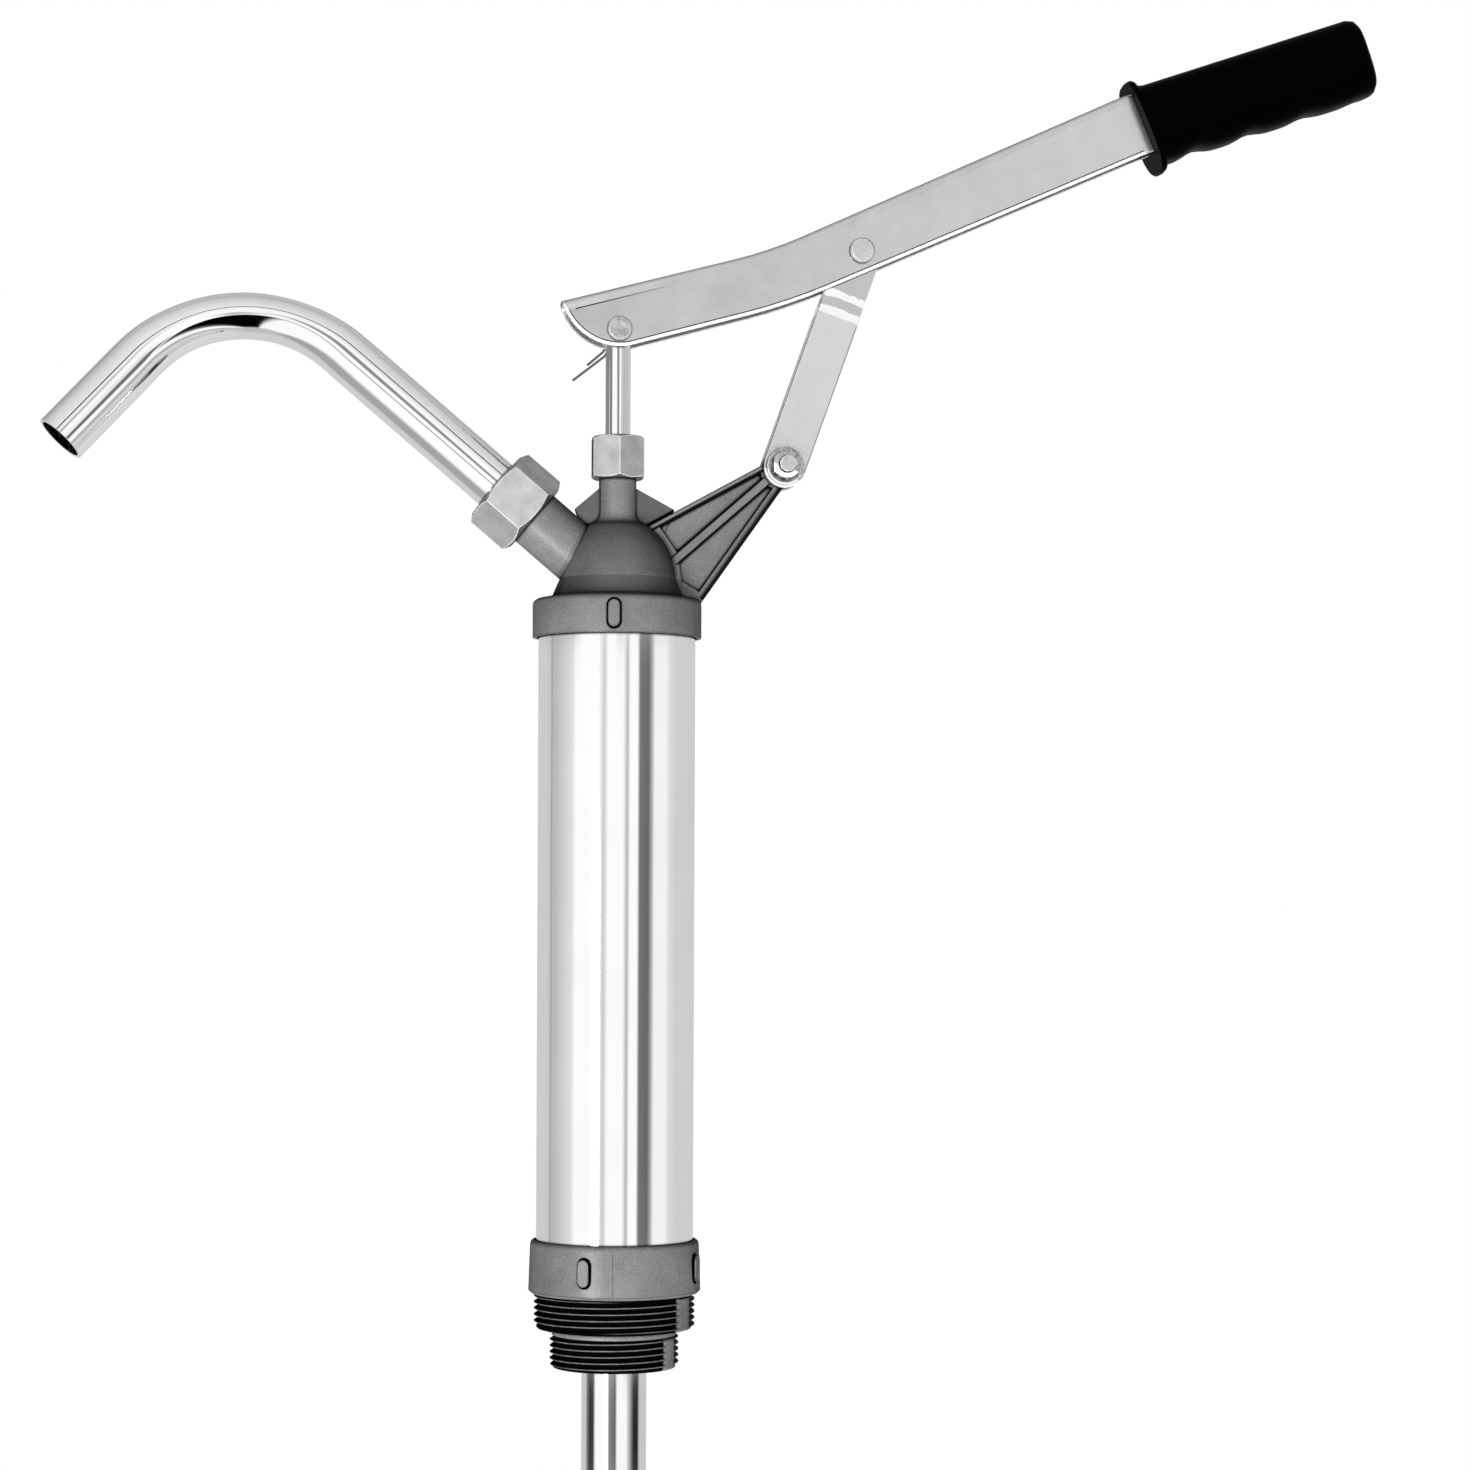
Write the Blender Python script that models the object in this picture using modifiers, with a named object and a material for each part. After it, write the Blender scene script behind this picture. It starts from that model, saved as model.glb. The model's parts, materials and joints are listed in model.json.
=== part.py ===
"""Hand-operated lever pump for drums: a 58 mm barrel with a cast head and base, a bent delivery spout,
a channel lever with its link, and a telescopic suction tube.

+Z is up along the barrel, +X points to the hand grip, and the origin is where the base collar seats on the
drum's bung. Sizes are in metres.
"""

import math

import bmesh
import bpy
import numpy as np
from mathutils import Matrix, Vector

MM = 0.001
GAP = 0.3 * MM  # clearance between pieces that touch or slide

# Barrel
BARREL_OD = 58.0 * MM
BARREL_WALL = 1.5 * MM
BARREL_EXPOSED = 222.2 * MM  # from collar to collar
BASE_SOCKET = 12.1 * MM
HEAD_SOCKET = 9.2 * MM
GASKET = 1.0 * MM

# Base casting with its two bung threads
BASE_COLLAR_WALL = 2.85 * MM  # around the barrel
BASE_COLLAR_TAPER = 0.6 * MM
BASE_COLLAR_ROUND = 1.8 * MM
BASE_COLLAR_EDGE = 1.0 * MM
BASE_COLLAR_HEIGHT = 19.6 * MM
LARGE_THREAD_OD = 59.6 * MM
LARGE_THREAD_LENGTH = 14.0 * MM
SMALL_THREAD_OD = 47.8 * MM
SMALL_THREAD_LENGTH = 12.0 * MM
RELIEF_LENGTH = 1.5 * MM
RELIEF_DEPTH = 1.3 * MM
BASE_FLOOR = 2.0 * MM  # height of the valve seat above the bung seat
BASE_LEDGE = 0.5 * MM  # how far the gasket shelf reaches inside the barrel
SEAT_THICKNESS = 4.0 * MM

# Foot valve
BALL_RADIUS = 8.0 * MM
SEAT_RADIUS = 6.0 * MM
BALL_LIFT = 5.0 * MM
CAGE_INNER_RADIUS = 9.6 * MM
CAGE_WALL = 1.9 * MM
CAGE_FLANGE_RADIUS = 14.0 * MM
CAGE_SLOT = 6.0 * MM

# Suction tube
SUCTION_OD = 24.0 * MM
SUCTION_WALL = 1.2 * MM
SUCTION_SOCKET = 17.5 * MM
SUCTION_EXPOSED = 407.5 * MM  # from the base's lower end to the sliding tube
SUCTION_OVERLAP = 30.0 * MM
SLIDING_TUBE_OD = 33.0 * MM
SLIDING_TUBE_WALL = 1.0 * MM
SLIDING_TUBE_LENGTH = 430.0 * MM
CRIMP_HEIGHT = 3.0 * MM
CRIMP_RIM = 1.2 * MM
STOP_RING_LENGTH = 6.0 * MM

# Head casting
HEAD_COLLAR_WALL = 2.25 * MM  # around the barrel
HEAD_COLLAR_HEIGHT = 14.2 * MM
COLLAR_SHOULDER = 2.4 * MM
BAND_FOOT_IN = 7.1 * MM  # from the collar's outside to the foot of the conical band
BAND_FOOT_RISE = 1.0 * MM  # of that foot above the shoulder
DOME_RADIUS = 21.3 * MM
DOME_HEIGHT = 23.2 * MM
DOME_BASE = 21.7 * MM  # above the head's lower edge
DOME_SWEEP = 60.0  # degrees of the ellipse that the dome uses
HEAD_WALL = 3.5 * MM
BOSS_RADIUS = 6.95 * MM
BOSS_TOP = 68.2 * MM  # above the head's lower edge
BOSS_RISE = 4.5 * MM  # from the end of the dome's ellipse to the straight boss
HEAD_SHELF = 4.3 * MM  # width of the shelf that the gasket seals on
GUSSET_WIDTH = 4.0 * MM
GUSSET_TOP = 55.1 * MM  # above the head's lower edge
GUSSET_LEFT_REACH = 15.8 * MM
GUSSET_RIGHT_REACH = 21.0 * MM
GUSSET_DROP = 7.6 * MM  # of the sloping edge
GUSSET_TAPER = 0.7  # its reach at the foot, as a share of its reach at the top

# Oblong lugs on the two collars
LUG_WIDTH = 4.2 * MM
LUG_HEIGHT = 9.9 * MM
LUG_RISE = 1.2 * MM
LUG_ROOT = 0.8 * MM  # sunk into the collar
HEAD_LUGS = 2
HEAD_LUG_LEVEL = 6.8 * MM  # above the head's lower edge
HEAD_LUG_TURN = math.radians(-6.5)  # from -Y towards +X
BASE_LUGS = 4
BASE_LUG_TURN = math.radians(-25.0)

# Gland
GLAND_NUT_FLATS = 18.7 * MM
GLAND_NUT_HEIGHT = 15.7 * MM
GLAND_NUT_FLOOR = 3.2 * MM
GLAND_COVER = 9.5 * MM  # how far the nut reaches down over the boss
PACKING_HEIGHT = 2.4 * MM

# Spout neck and spout
NECK_ANGLE = math.radians(40.34)  # above the horizontal, towards -X
NECK_START = 17.7 * MM  # where its axis meets the barrel axis, above the head's lower edge
NECK_RADIUS = 10.95 * MM
NECK_BORE = 8.0 * MM
NECK_LENGTH = 52.0 * MM
SPOUT_OD = 19.0 * MM
SPOUT_WALL = 1.2 * MM
SPOUT_STRAIGHT = 131.4 * MM  # from the barrel axis to the bend
SPOUT_BEND_RADIUS = 54.0 * MM
SPOUT_BEND = math.radians(88.3)
SPOUT_END = 41.0 * MM
SPOUT_SWIVEL = math.radians(8.4)  # towards -Y
SPOUT_NUT_FLATS = 28.5 * MM
SPOUT_NUT_LENGTH = 18.4 * MM
SPOUT_NUT_START = 40.3 * MM
FERRULE_HEIGHT = 3.0 * MM

# Bracket arm
ARM_WIDTH = 9.4 * MM
ARM_WEB = 3.4 * MM
ARM_END_RADIUS = 8.0 * MM  # where its edges end, from the link pivot
ARM_BOSS_RADIUS = 7.2 * MM
ARM_TOP_RIM = 2.2 * MM
ARM_LOWER_RIM = 3.0 * MM
ARM_RIB = 3.5 * MM
ARM_TOP_ROOT = (11.3 * MM, 41.3 * MM)  # out from the barrel axis, above the head's lower edge
ARM_RIB_ROOT = (20.4 * MM, 28.2 * MM)
ARM_TOP_TURN = math.radians(175)  # where the top edge meets the end, round the link pivot from +X
ARM_RIB_TURN = math.radians(219)
ARM_LOWER_TURN = math.radians(266)
ARM_BAY_END = 1.5 * MM
ARM_BAY_ROOT = 2.0 * MM
ARM_BAY_FOOT_IN = 9.6 * MM  # from the outside of the collar
ARM_LOWER_ROOT = (31.4 * MM, 13.9 * MM)
LINK_PIVOT_OUT = 61.5 * MM
LINK_PIVOT_RISE = 63.9 * MM

# Pump rod and piston
ROD_RADIUS = 4.6 * MM
ROD_PIVOT_RISE = 113.5 * MM  # above the head's lower edge
ROD_EYE = 6.5 * MM
ROD_SPIGOT_RADIUS = 3.5 * MM
PISTON_NUT_FLATS = 13.0 * MM
PISTON_NUT_HEIGHT = 6.5 * MM
PISTON_NUT_PLAY = 1.5 * MM
PISTON_HEIGHT = 12.0 * MM
CUP_HEIGHT = 6.0 * MM
CUP_DEPTH = 3.0 * MM
PORT_RADIUS = 3.0 * MM
PORT_CIRCLE = 34.0 * MM
PORTS = 6
VALVE_PLATE_RADIUS = 21.0 * MM
VALVE_PLATE_THICKNESS = 2.0 * MM
VALVE_LIFT = 3.0 * MM
VALVE_STOP_RADIUS = 16.0 * MM
VALVE_STOP_THICKNESS = 2.0 * MM

# Lever: a channel open downwards
LEVER_WIDTH = 13.0 * MM
LEVER_SHEET = 1.5 * MM
LEVER_CORNER = 3.3 * MM
LEVER_COIN = 0.8 * MM  # pressed chamfer along the cheeks' lower edges and nose
LEVER_ABOVE_PIVOT = 15.24 * MM
LEVER_OVERHANG = 18.0 * MM
LEVER_FRONT = 61.7 * MM  # from the rod pivot to the bend
LEVER_REAR = 147.9 * MM  # from the bend to the grip
LEVER_IN_GRIP = 78.0 * MM
LEVER_FRONT_ANGLE = math.radians(14.9)
LEVER_REAR_ANGLE = math.radians(24.7)
GRIP_ANGLE = math.radians(19.0)
LEVER_NOSE_DEPTH = 22.1 * MM
LEVER_BEND_DEPTH = 21.4 * MM
LEVER_GRIP_DEPTH = 23.4 * MM
LEVER_BEND_RADIUS = 160.0 * MM
LEVER_GRIP_RADIUS = 60.0 * MM

# Hand grip
GRIP_SETBACK = 2.4 * MM  # from the lever's rear bend to the guard flange
GRIP_LENGTH = 91.0 * MM
GRIP_WIDTH = 25.0 * MM
GRIP_TOP_WALL = 1.3 * MM
GRIP_HEIGHT = 30.3 * MM
GRIP_SQUARENESS = 0.6  # 1 is an ellipse, 0 a rectangle
GRIP_END_ROUND = 4.5 * MM
GRIP_FLANGE_HEIGHT = 36.2 * MM
GRIP_FLANGE_WIDTH = 27.4 * MM
GRIP_FLANGE = 2.4 * MM
GRIP_FLANGE_LEAN = math.radians(4)
GRIP_FLANGE_FOOT = 0.1 * MM
GRIP_FINGERS = 4
FINGER_PITCH = 22.4 * MM
FINGER_FIRST = 17.4 * MM  # from the flange's front to the first hollow
FINGER_DEPTH = 1.75 * MM
FINGER_LAST_DEPTH = 0.7 * MM

# Pins, link and fasteners
PIN_RADIUS = 2.5 * MM
PIN_HEAD_RADIUS = 4.5 * MM
PIN_HEAD = 1.6 * MM
PIN_WASHER_RADIUS = 5.0 * MM
PIN_WASHER = 1.0 * MM
PIN_TAIL = 3.4 * MM
COTTER_WIRE_RADIUS = 0.45 * MM
COTTER_EYE_RADIUS = 1.9 * MM
COTTER_TURN = math.radians(236.6)  # the way its legs point, from +X towards +Z
COTTER_LONG_LEG = ((-16.2 * MM, -17.1 * MM), (-4.4 * MM, -7.9 * MM))  # tip and knee, from the pin
COTTER_SHORT_LEG = ((-10.8 * MM, -11.3 * MM), (-5.1 * MM, -6.4 * MM))
LINK_LENGTH = 85.49 * MM
LINK_LEAN = math.radians(19.47)  # from the vertical
RIVET_RADIUS = 2.7 * MM
RIVET_HEAD_RADIUS = 4.6 * MM
RIVET_HEAD = 1.8 * MM
STRAP_WIDTH = 15.6 * MM
STRAP_THICKNESS = 2.3 * MM
JOGGLE_START = 57.0 * MM
JOGGLE_LENGTH = 10.0 * MM
BOLT_RADIUS = 3.0 * MM
BOLT_FLATS = 10.0 * MM
BOLT_HEAD = 4.0 * MM
BOLT_NUT = 5.0 * MM
BOLT_TAIL = 2.0 * MM
WASHER_RADIUS = 6.9 * MM
WASHER_THICKNESS = 1.5 * MM

# Levels along the barrel axis
HEAD_EDGE = BASE_COLLAR_HEIGHT + BARREL_EXPOSED
BARREL_BOTTOM = BASE_COLLAR_HEIGHT - BASE_SOCKET
BARREL_TOP = HEAD_EDGE + HEAD_SOCKET
BASE_BOTTOM = -(LARGE_THREAD_LENGTH + RELIEF_LENGTH + SMALL_THREAD_LENGTH)
BOSS_END = HEAD_EDGE + BOSS_TOP
SLIDING_TUBE_TOP = BASE_BOTTOM - SUCTION_EXPOSED
BARREL_RADIUS = BARREL_OD / 2
BARREL_INNER = BARREL_RADIUS - BARREL_WALL
BASE_COLLAR = BARREL_RADIUS + BASE_COLLAR_WALL
BASE_INNER_RADIUS = BARREL_INNER - BASE_LEDGE
HEAD_COLLAR = BARREL_RADIUS + HEAD_COLLAR_WALL

# Foot valve: the ball rests on its seat, and the rod's lower end rests just above the cage
BALL_CENTRE = BASE_FLOOR + math.sqrt((BALL_RADIUS + GAP) ** 2 - SEAT_RADIUS**2)
CAGE_ROOF = BALL_CENTRE + BALL_RADIUS + BALL_LIFT + GAP
ROD_END = CAGE_ROOF + CAGE_WALL + GAP

# Pivots of the lever mechanism
ROD_PIVOT = Vector((0, 0, HEAD_EDGE + ROD_PIVOT_RISE))
LINK_PIVOT = Vector((LINK_PIVOT_OUT, 0, HEAD_EDGE + LINK_PIVOT_RISE))
LINK_AXIS = Vector((math.sin(LINK_LEAN), 0, math.cos(LINK_LEAN)))
JOINT_PIVOT = LINK_PIVOT + LINK_AXIS * LINK_LENGTH
ACROSS = Vector((0, 1, 0))

# Directions of the spout
NECK_ORIGIN = Vector((0, 0, HEAD_EDGE + NECK_START))
NECK_AXIS = Vector((-math.cos(NECK_ANGLE), 0, math.sin(NECK_ANGLE)))
SPOUT_TURN = (
    Vector((-math.sin(NECK_ANGLE), 0, -math.cos(NECK_ANGLE))) * math.cos(SPOUT_SWIVEL)
    + Vector((0, -1, 0)) * math.sin(SPOUT_SWIVEL)
)

ROUND = 40  # facets of the large turned pieces
SMALL_ROUND = 20
OVERCUT = MM  # how far a cutter runs past the piece it cuts
WELD = 0.001 * MM  # points closer than this are one
FLAT = math.radians(0.05)  # faces that meet at less than this are one
SLIGHT = 0.1  # a slope that still counts as square to an axis
HEX_CHAMFER = math.radians(30)
HEX_END_FACE = 0.96  # diameter of a nut's end face, as a share of its width across flats

FINISHES = {
    "casting": ((0.055, 0.056, 0.058), 0.5, 0.85),
    "chrome": ((0.78, 0.79, 0.80), 0.06, 1.0),
    "zinc": ((0.62, 0.63, 0.64), 0.32, 1.0),
    "black_pvc": ((0.006, 0.006, 0.006), 0.35, 0.0),
    "seal_rubber": ((0.02, 0.02, 0.02), 0.6, 0.0),
    "brass": ((0.62, 0.42, 0.16), 0.3, 1.0),
    "nylon": ((0.75, 0.74, 0.70), 0.45, 0.0),
}


def clear_scene():
    for obj in list(bpy.data.objects):
        bpy.data.objects.remove(obj, do_unlink=True)


def new_collection(name, hidden=False):
    collection = bpy.data.collections.new(name)
    collection.hide_render = hidden
    bpy.context.scene.collection.children.link(collection)
    return collection


def new_material(name):
    colour, roughness, metallic = FINISHES[name]
    material = bpy.data.materials.new(name)
    material.use_nodes = True
    shader = material.node_tree.nodes["Principled BSDF"]
    shader.inputs["Base Color"].default_value = (*colour, 1)
    shader.inputs["Roughness"].default_value = roughness
    shader.inputs["Metallic"].default_value = metallic
    material.diffuse_color = (*colour, 1)
    return material


clear_scene()
PARTS = new_collection("drum_barrel_pump")
CUTTERS = new_collection("cutters", hidden=True)
MATERIALS = {name: new_material(name) for name in FINISHES}


def add(name, data, finish=None):
    """Links mesh or curve data as a part or, when it has no finish, as a hidden cutter."""
    obj = bpy.data.objects.new(name, data)
    if finish:
        PARTS.objects.link(obj)
        data.materials.append(MATERIALS[finish])
    else:
        CUTTERS.objects.link(obj)
        obj.hide_render = True
        obj.display_type = "WIRE"
    return obj


def as_mesh(source, name, finish=None):
    """Replaces a curve with the welded mesh that it makes."""
    bpy.context.view_layer.update()
    graph = bpy.context.evaluated_depsgraph_get()
    mesh = bpy.data.meshes.new_from_object(source.evaluated_get(graph))
    mesh.name = name
    bm = bmesh.new()
    bm.from_mesh(mesh)
    bmesh.ops.remove_doubles(bm, verts=bm.verts, dist=WELD)
    bmesh.ops.recalc_face_normals(bm, faces=bm.faces)
    bm.to_mesh(mesh)
    bm.free()
    obj = add(name, mesh, finish)
    obj.matrix_world = source.matrix_world
    bpy.data.objects.remove(source, do_unlink=True)
    return obj


def baked(obj):
    """Applies the modifiers of a mesh object."""
    bpy.context.view_layer.update()
    graph = bpy.context.evaluated_depsgraph_get()
    mesh = bpy.data.meshes.new_from_object(obj.evaluated_get(graph))
    obj.modifiers.clear()
    obj.data = mesh
    return obj


def boolean(obj, operation, *others):
    for other in others:
        modifier = obj.modifiers.new(f"{operation.title()} {other.name}"[:60], "BOOLEAN")
        modifier.operation = operation
        modifier.object = other
    return obj


def cut(obj, *cutters):
    return boolean(obj, "DIFFERENCE", *cutters)


def join(obj, *others):
    return boolean(obj, "UNION", *others)


def aim(obj, origin, axis, facing=Vector((1, 0, 0))):
    """Points an object's Z along axis and turns its X towards facing."""
    z = axis.normalized()
    x = (facing - z * facing.dot(z)).normalized()
    turn = Matrix((x, z.cross(x), z)).transposed().to_4x4()
    obj.matrix_world = Matrix.Translation(origin) @ turn
    return obj


def turned(name, profile, finish=None, sides=ROUND):
    """A solid turned round Z from (radius, height) points that run down its outer side."""
    touches_axis = profile[0][0] == 0
    count = len(profile)
    edges = [(i, (i + 1) % count) for i in range(count - touches_axis)]
    mesh = bpy.data.meshes.new(name)
    mesh.from_pydata([(radius, 0, height) for radius, height in profile], edges, [])
    obj = add(name, mesh, finish)
    screw = obj.modifiers.new("Turn", "SCREW")
    screw.axis = "Z"
    screw.steps = sides
    screw.render_steps = sides
    screw.use_merge_vertices = True
    screw.merge_threshold = WELD
    return obj


def ring(name, inner, outer, bottom, top, finish=None, sides=ROUND):
    return turned(name, [(outer, top), (outer, bottom), (inner, bottom), (inner, top)], finish, sides)


def disc(name, radius, bottom, top, finish=None, sides=SMALL_ROUND):
    return turned(name, [(0, top), (radius, top), (radius, bottom), (0, bottom)], finish, sides)


def hexagon(name, flats, bottom, top, finish=None):
    """A hexagonal prism on Z with a flat towards X and both ends chamfered."""
    corner = flats / math.sqrt(3)
    bm = bmesh.new()
    lift = Matrix.Translation((0, 0, (bottom + top) / 2))
    bmesh.ops.create_cone(
        bm, cap_ends=True, segments=6, radius1=corner, radius2=corner, depth=top - bottom, matrix=lift
    )
    mesh = bpy.data.meshes.new(name)
    bm.to_mesh(mesh)
    bm.free()
    prism = add(name, mesh, finish)
    flat = flats / 2 * HEX_END_FACE
    outside = corner + OVERCUT
    drop = (outside - flat) * math.tan(HEX_CHAMFER)
    chamfer = turned(
        f"{name}_chamfer",
        [(0, top), (flat, top), (outside, top - drop), (outside, bottom + drop), (flat, bottom), (0, bottom)],
        sides=36,
    )
    boolean(prism, "INTERSECT", chamfer)
    return prism, chamfer


def plate(name, outline, middle, thickness, finish=None, frame=Matrix()):
    """A flat piece from (x, z) points, centred on y = middle in its frame."""
    curve = bpy.data.curves.new(name, "CURVE")
    curve.dimensions = "2D"
    curve.fill_mode = "BOTH"
    curve.extrude = thickness / 2
    spline = curve.splines.new("POLY")
    spline.points.add(len(outline) - 1)
    for point, (x, z) in zip(spline.points, outline):
        point.co = (x, z, 0, 1)
    spline.use_cyclic_u = True
    guide = add(f"{name}_outline", curve)
    guide.matrix_world = frame @ Matrix.Translation((0, middle, 0)) @ Matrix.Rotation(math.pi / 2, 4, "X")
    return as_mesh(guide, name, finish)


def wire(name, points, radius, finish=None, resolution=2):
    """A round bar along a row of points."""
    curve = bpy.data.curves.new(name, "CURVE")
    curve.dimensions = "3D"
    curve.bevel_depth = radius
    curve.bevel_resolution = resolution
    curve.use_fill_caps = True
    spline = curve.splines.new("POLY")
    spline.points.add(len(points) - 1)
    for point, place in zip(spline.points, points):
        point.co = (*place, 1)
    return as_mesh(add(f"{name}_path", curve), name, finish)


def loft(name, rows, finish=None, closed=False):
    """Skins rows of points; closed rows become capped rings."""
    bm = bmesh.new()
    rings = [[bm.verts.new(point) for point in row] for row in rows]
    count = len(rows[0])
    for low, high in zip(rings, rings[1:]):
        for i in range(count - 1 + closed):
            j = (i + 1) % count
            bm.faces.new((low[i], low[j], high[j], high[i]))
    if closed:
        bm.faces.new(rings[0])
        bm.faces.new(rings[-1])
    bmesh.ops.recalc_face_normals(bm, faces=bm.faces)
    mesh = bpy.data.meshes.new(name)
    bm.to_mesh(mesh)
    bm.free()
    return add(name, mesh, finish)


def arc(centre, radius, start, end, steps):
    """Points (x, z) on an arc, with its angles in degrees."""
    angles = [math.radians(start + (end - start) * i / steps) for i in range(steps + 1)]
    return [(centre[0] + radius * math.cos(a), centre[1] + radius * math.sin(a)) for a in angles]


def direction(angle):
    return Vector((math.cos(angle), math.sin(angle)))


def inset(outline, margins):
    """Moves each edge of an outline inwards by its own margin; edge i starts at point i."""
    points = [Vector(point) for point in outline]
    pairs = list(zip(points, points[1:] + points[:1]))
    side = math.copysign(1, sum(a.cross(b) for a, b in pairs))
    lines = []
    for (a, b), margin in zip(pairs, margins):
        along = (b - a).normalized()
        lines.append((a + Vector((-along.y, along.x)) * side * margin, along))
    corners = []
    for (a, along), (b, other) in zip(lines[-1:] + lines[:-1], lines):
        corners.append(tuple(a + along * ((b - a).cross(other) / along.cross(other))))
    return corners


def flare(top, bottom, steps=4):
    """A hollow curve that leaves top straight down and meets bottom level."""
    angles = [math.pi / 2 * i / steps for i in range(steps + 1)]
    width, height = bottom[0] - top[0], top[1] - bottom[1]
    return [(top[0] + width * (1 - math.cos(a)), top[1] - height * math.sin(a)) for a in angles]


def round_over(top, bottom, steps=4):
    """A full curve that leaves top level and meets bottom straight down."""
    angles = [math.pi / 2 * i / steps for i in range(steps + 1)]
    width, height = bottom[0] - top[0], top[1] - bottom[1]
    return [(top[0] + width * math.sin(a), top[1] - height * (1 - math.cos(a))) for a in angles]


def across(name, pivot, radius, start, end, finish=None, sides=SMALL_ROUND):
    """A round bar through pivot, along Y from start to end."""
    return aim(disc(name, radius, start, end, finish, sides), pivot, ACROSS)


def lugs(name, radius, level, first_turn, count):
    """Oblong pads that stand proud of a collar."""
    round_end = LUG_WIDTH / 2
    straight = LUG_HEIGHT / 2 - round_end
    outline = arc((0, level + straight), round_end, 0, 180, 6) + arc((0, level - straight), round_end, 180, 360, 6)
    depth = LUG_ROOT + LUG_RISE
    middle = radius + LUG_RISE - depth / 2
    pads = []
    for i in range(count):
        frame = Matrix.Rotation(first_turn + 2 * math.pi * i / count, 4, "Z")
        pads.append(plate(f"{name}_{i + 1}", outline, -middle, depth, frame=frame))
    return pads


def build_base():
    large, small = LARGE_THREAD_OD / 2, SMALL_THREAD_OD / 2
    upper = BASE_COLLAR - BASE_COLLAR_TAPER
    rounding = round_over(
        (upper - BASE_COLLAR_ROUND, BASE_COLLAR_HEIGHT),
        (upper, BASE_COLLAR_HEIGHT - BASE_COLLAR_ROUND),
    )
    relief = small - RELIEF_DEPTH
    socket = SUCTION_OD / 2 + GAP
    bore = SUCTION_OD / 2 - SUCTION_WALL
    socket_end = BASE_BOTTOM + SUCTION_SOCKET + GAP
    seat_bottom = BASE_FLOOR - SEAT_THICKNESS
    shelf = BARREL_BOTTOM - GASKET - 2 * GAP
    casting = turned(
        "base_casting",
        [
            *rounding,
            (BASE_COLLAR, BASE_COLLAR_EDGE),
            (BASE_COLLAR - BASE_COLLAR_EDGE, 0),
            (large, 0),
            (large, -LARGE_THREAD_LENGTH),
            (relief, -LARGE_THREAD_LENGTH),
            (relief, -LARGE_THREAD_LENGTH - RELIEF_LENGTH),
            (small, -LARGE_THREAD_LENGTH - RELIEF_LENGTH),
            (small, BASE_BOTTOM),
            (socket, BASE_BOTTOM),
            (socket, socket_end),
            (bore, socket_end),
            (bore, seat_bottom),
            (SEAT_RADIUS, seat_bottom),
            (SEAT_RADIUS, BASE_FLOOR),
            (BASE_INNER_RADIUS, BASE_FLOOR),
            (BASE_INNER_RADIUS, shelf),
            (BARREL_RADIUS + GAP, shelf),
            (BARREL_RADIUS + GAP, BASE_COLLAR_HEIGHT),
        ],
        "casting",
    )
    middle = BASE_COLLAR - BASE_COLLAR_TAPER / 2
    join(casting, *lugs("base_lug", middle, BASE_COLLAR_HEIGHT / 2, BASE_LUG_TURN, BASE_LUGS))
    gasket_bottom = shelf + GAP
    ring(
        "base_gasket",
        BASE_INNER_RADIUS + GAP,
        BARREL_RADIUS,
        gasket_bottom,
        gasket_bottom + GASKET,
        "seal_rubber",
    )


def build_foot_valve():
    """A loose ball on a seat in the base, under a slotted cage."""
    steps = 12
    half_turn = [math.pi * (0.5 - i / steps) for i in range(steps + 1)]
    profile = [(BALL_RADIUS * math.cos(a), BALL_CENTRE + BALL_RADIUS * math.sin(a)) for a in half_turn]
    profile[0] = (0, profile[0][1])
    profile[-1] = (0, profile[-1][1])
    turned("foot_valve_ball", profile, "chrome", SMALL_ROUND)

    foot = BASE_FLOOR + GAP
    flange_top = foot + CAGE_WALL
    outer = CAGE_INNER_RADIUS + CAGE_WALL
    hole = BALL_RADIUS / 2
    cage = turned(
        "foot_valve_cage",
        [
            (hole, CAGE_ROOF + CAGE_WALL),
            (outer, CAGE_ROOF + CAGE_WALL),
            (outer, flange_top),
            (CAGE_FLANGE_RADIUS, flange_top),
            (CAGE_FLANGE_RADIUS, foot),
            (CAGE_INNER_RADIUS, foot),
            (CAGE_INNER_RADIUS, CAGE_ROOF),
            (hole, CAGE_ROOF),
        ],
        "brass",
        SMALL_ROUND,
    )
    slot_bottom = flange_top + CAGE_WALL
    slot = [
        (-CAGE_SLOT / 2, slot_bottom),
        (CAGE_SLOT / 2, slot_bottom),
        (CAGE_SLOT / 2, CAGE_ROOF - CAGE_WALL),
        (-CAGE_SLOT / 2, CAGE_ROOF - CAGE_WALL),
    ]
    for turn in (0, 90):
        frame = Matrix.Rotation(math.radians(turn), 4, "Z")
        cut(cage, plate(f"cage_slot_{turn}", slot, 0, 4 * outer, frame=frame))


def build_barrel():
    ring("barrel_tube", BARREL_INNER, BARREL_RADIUS, BARREL_BOTTOM, BARREL_TOP, "chrome", 64)


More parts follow.
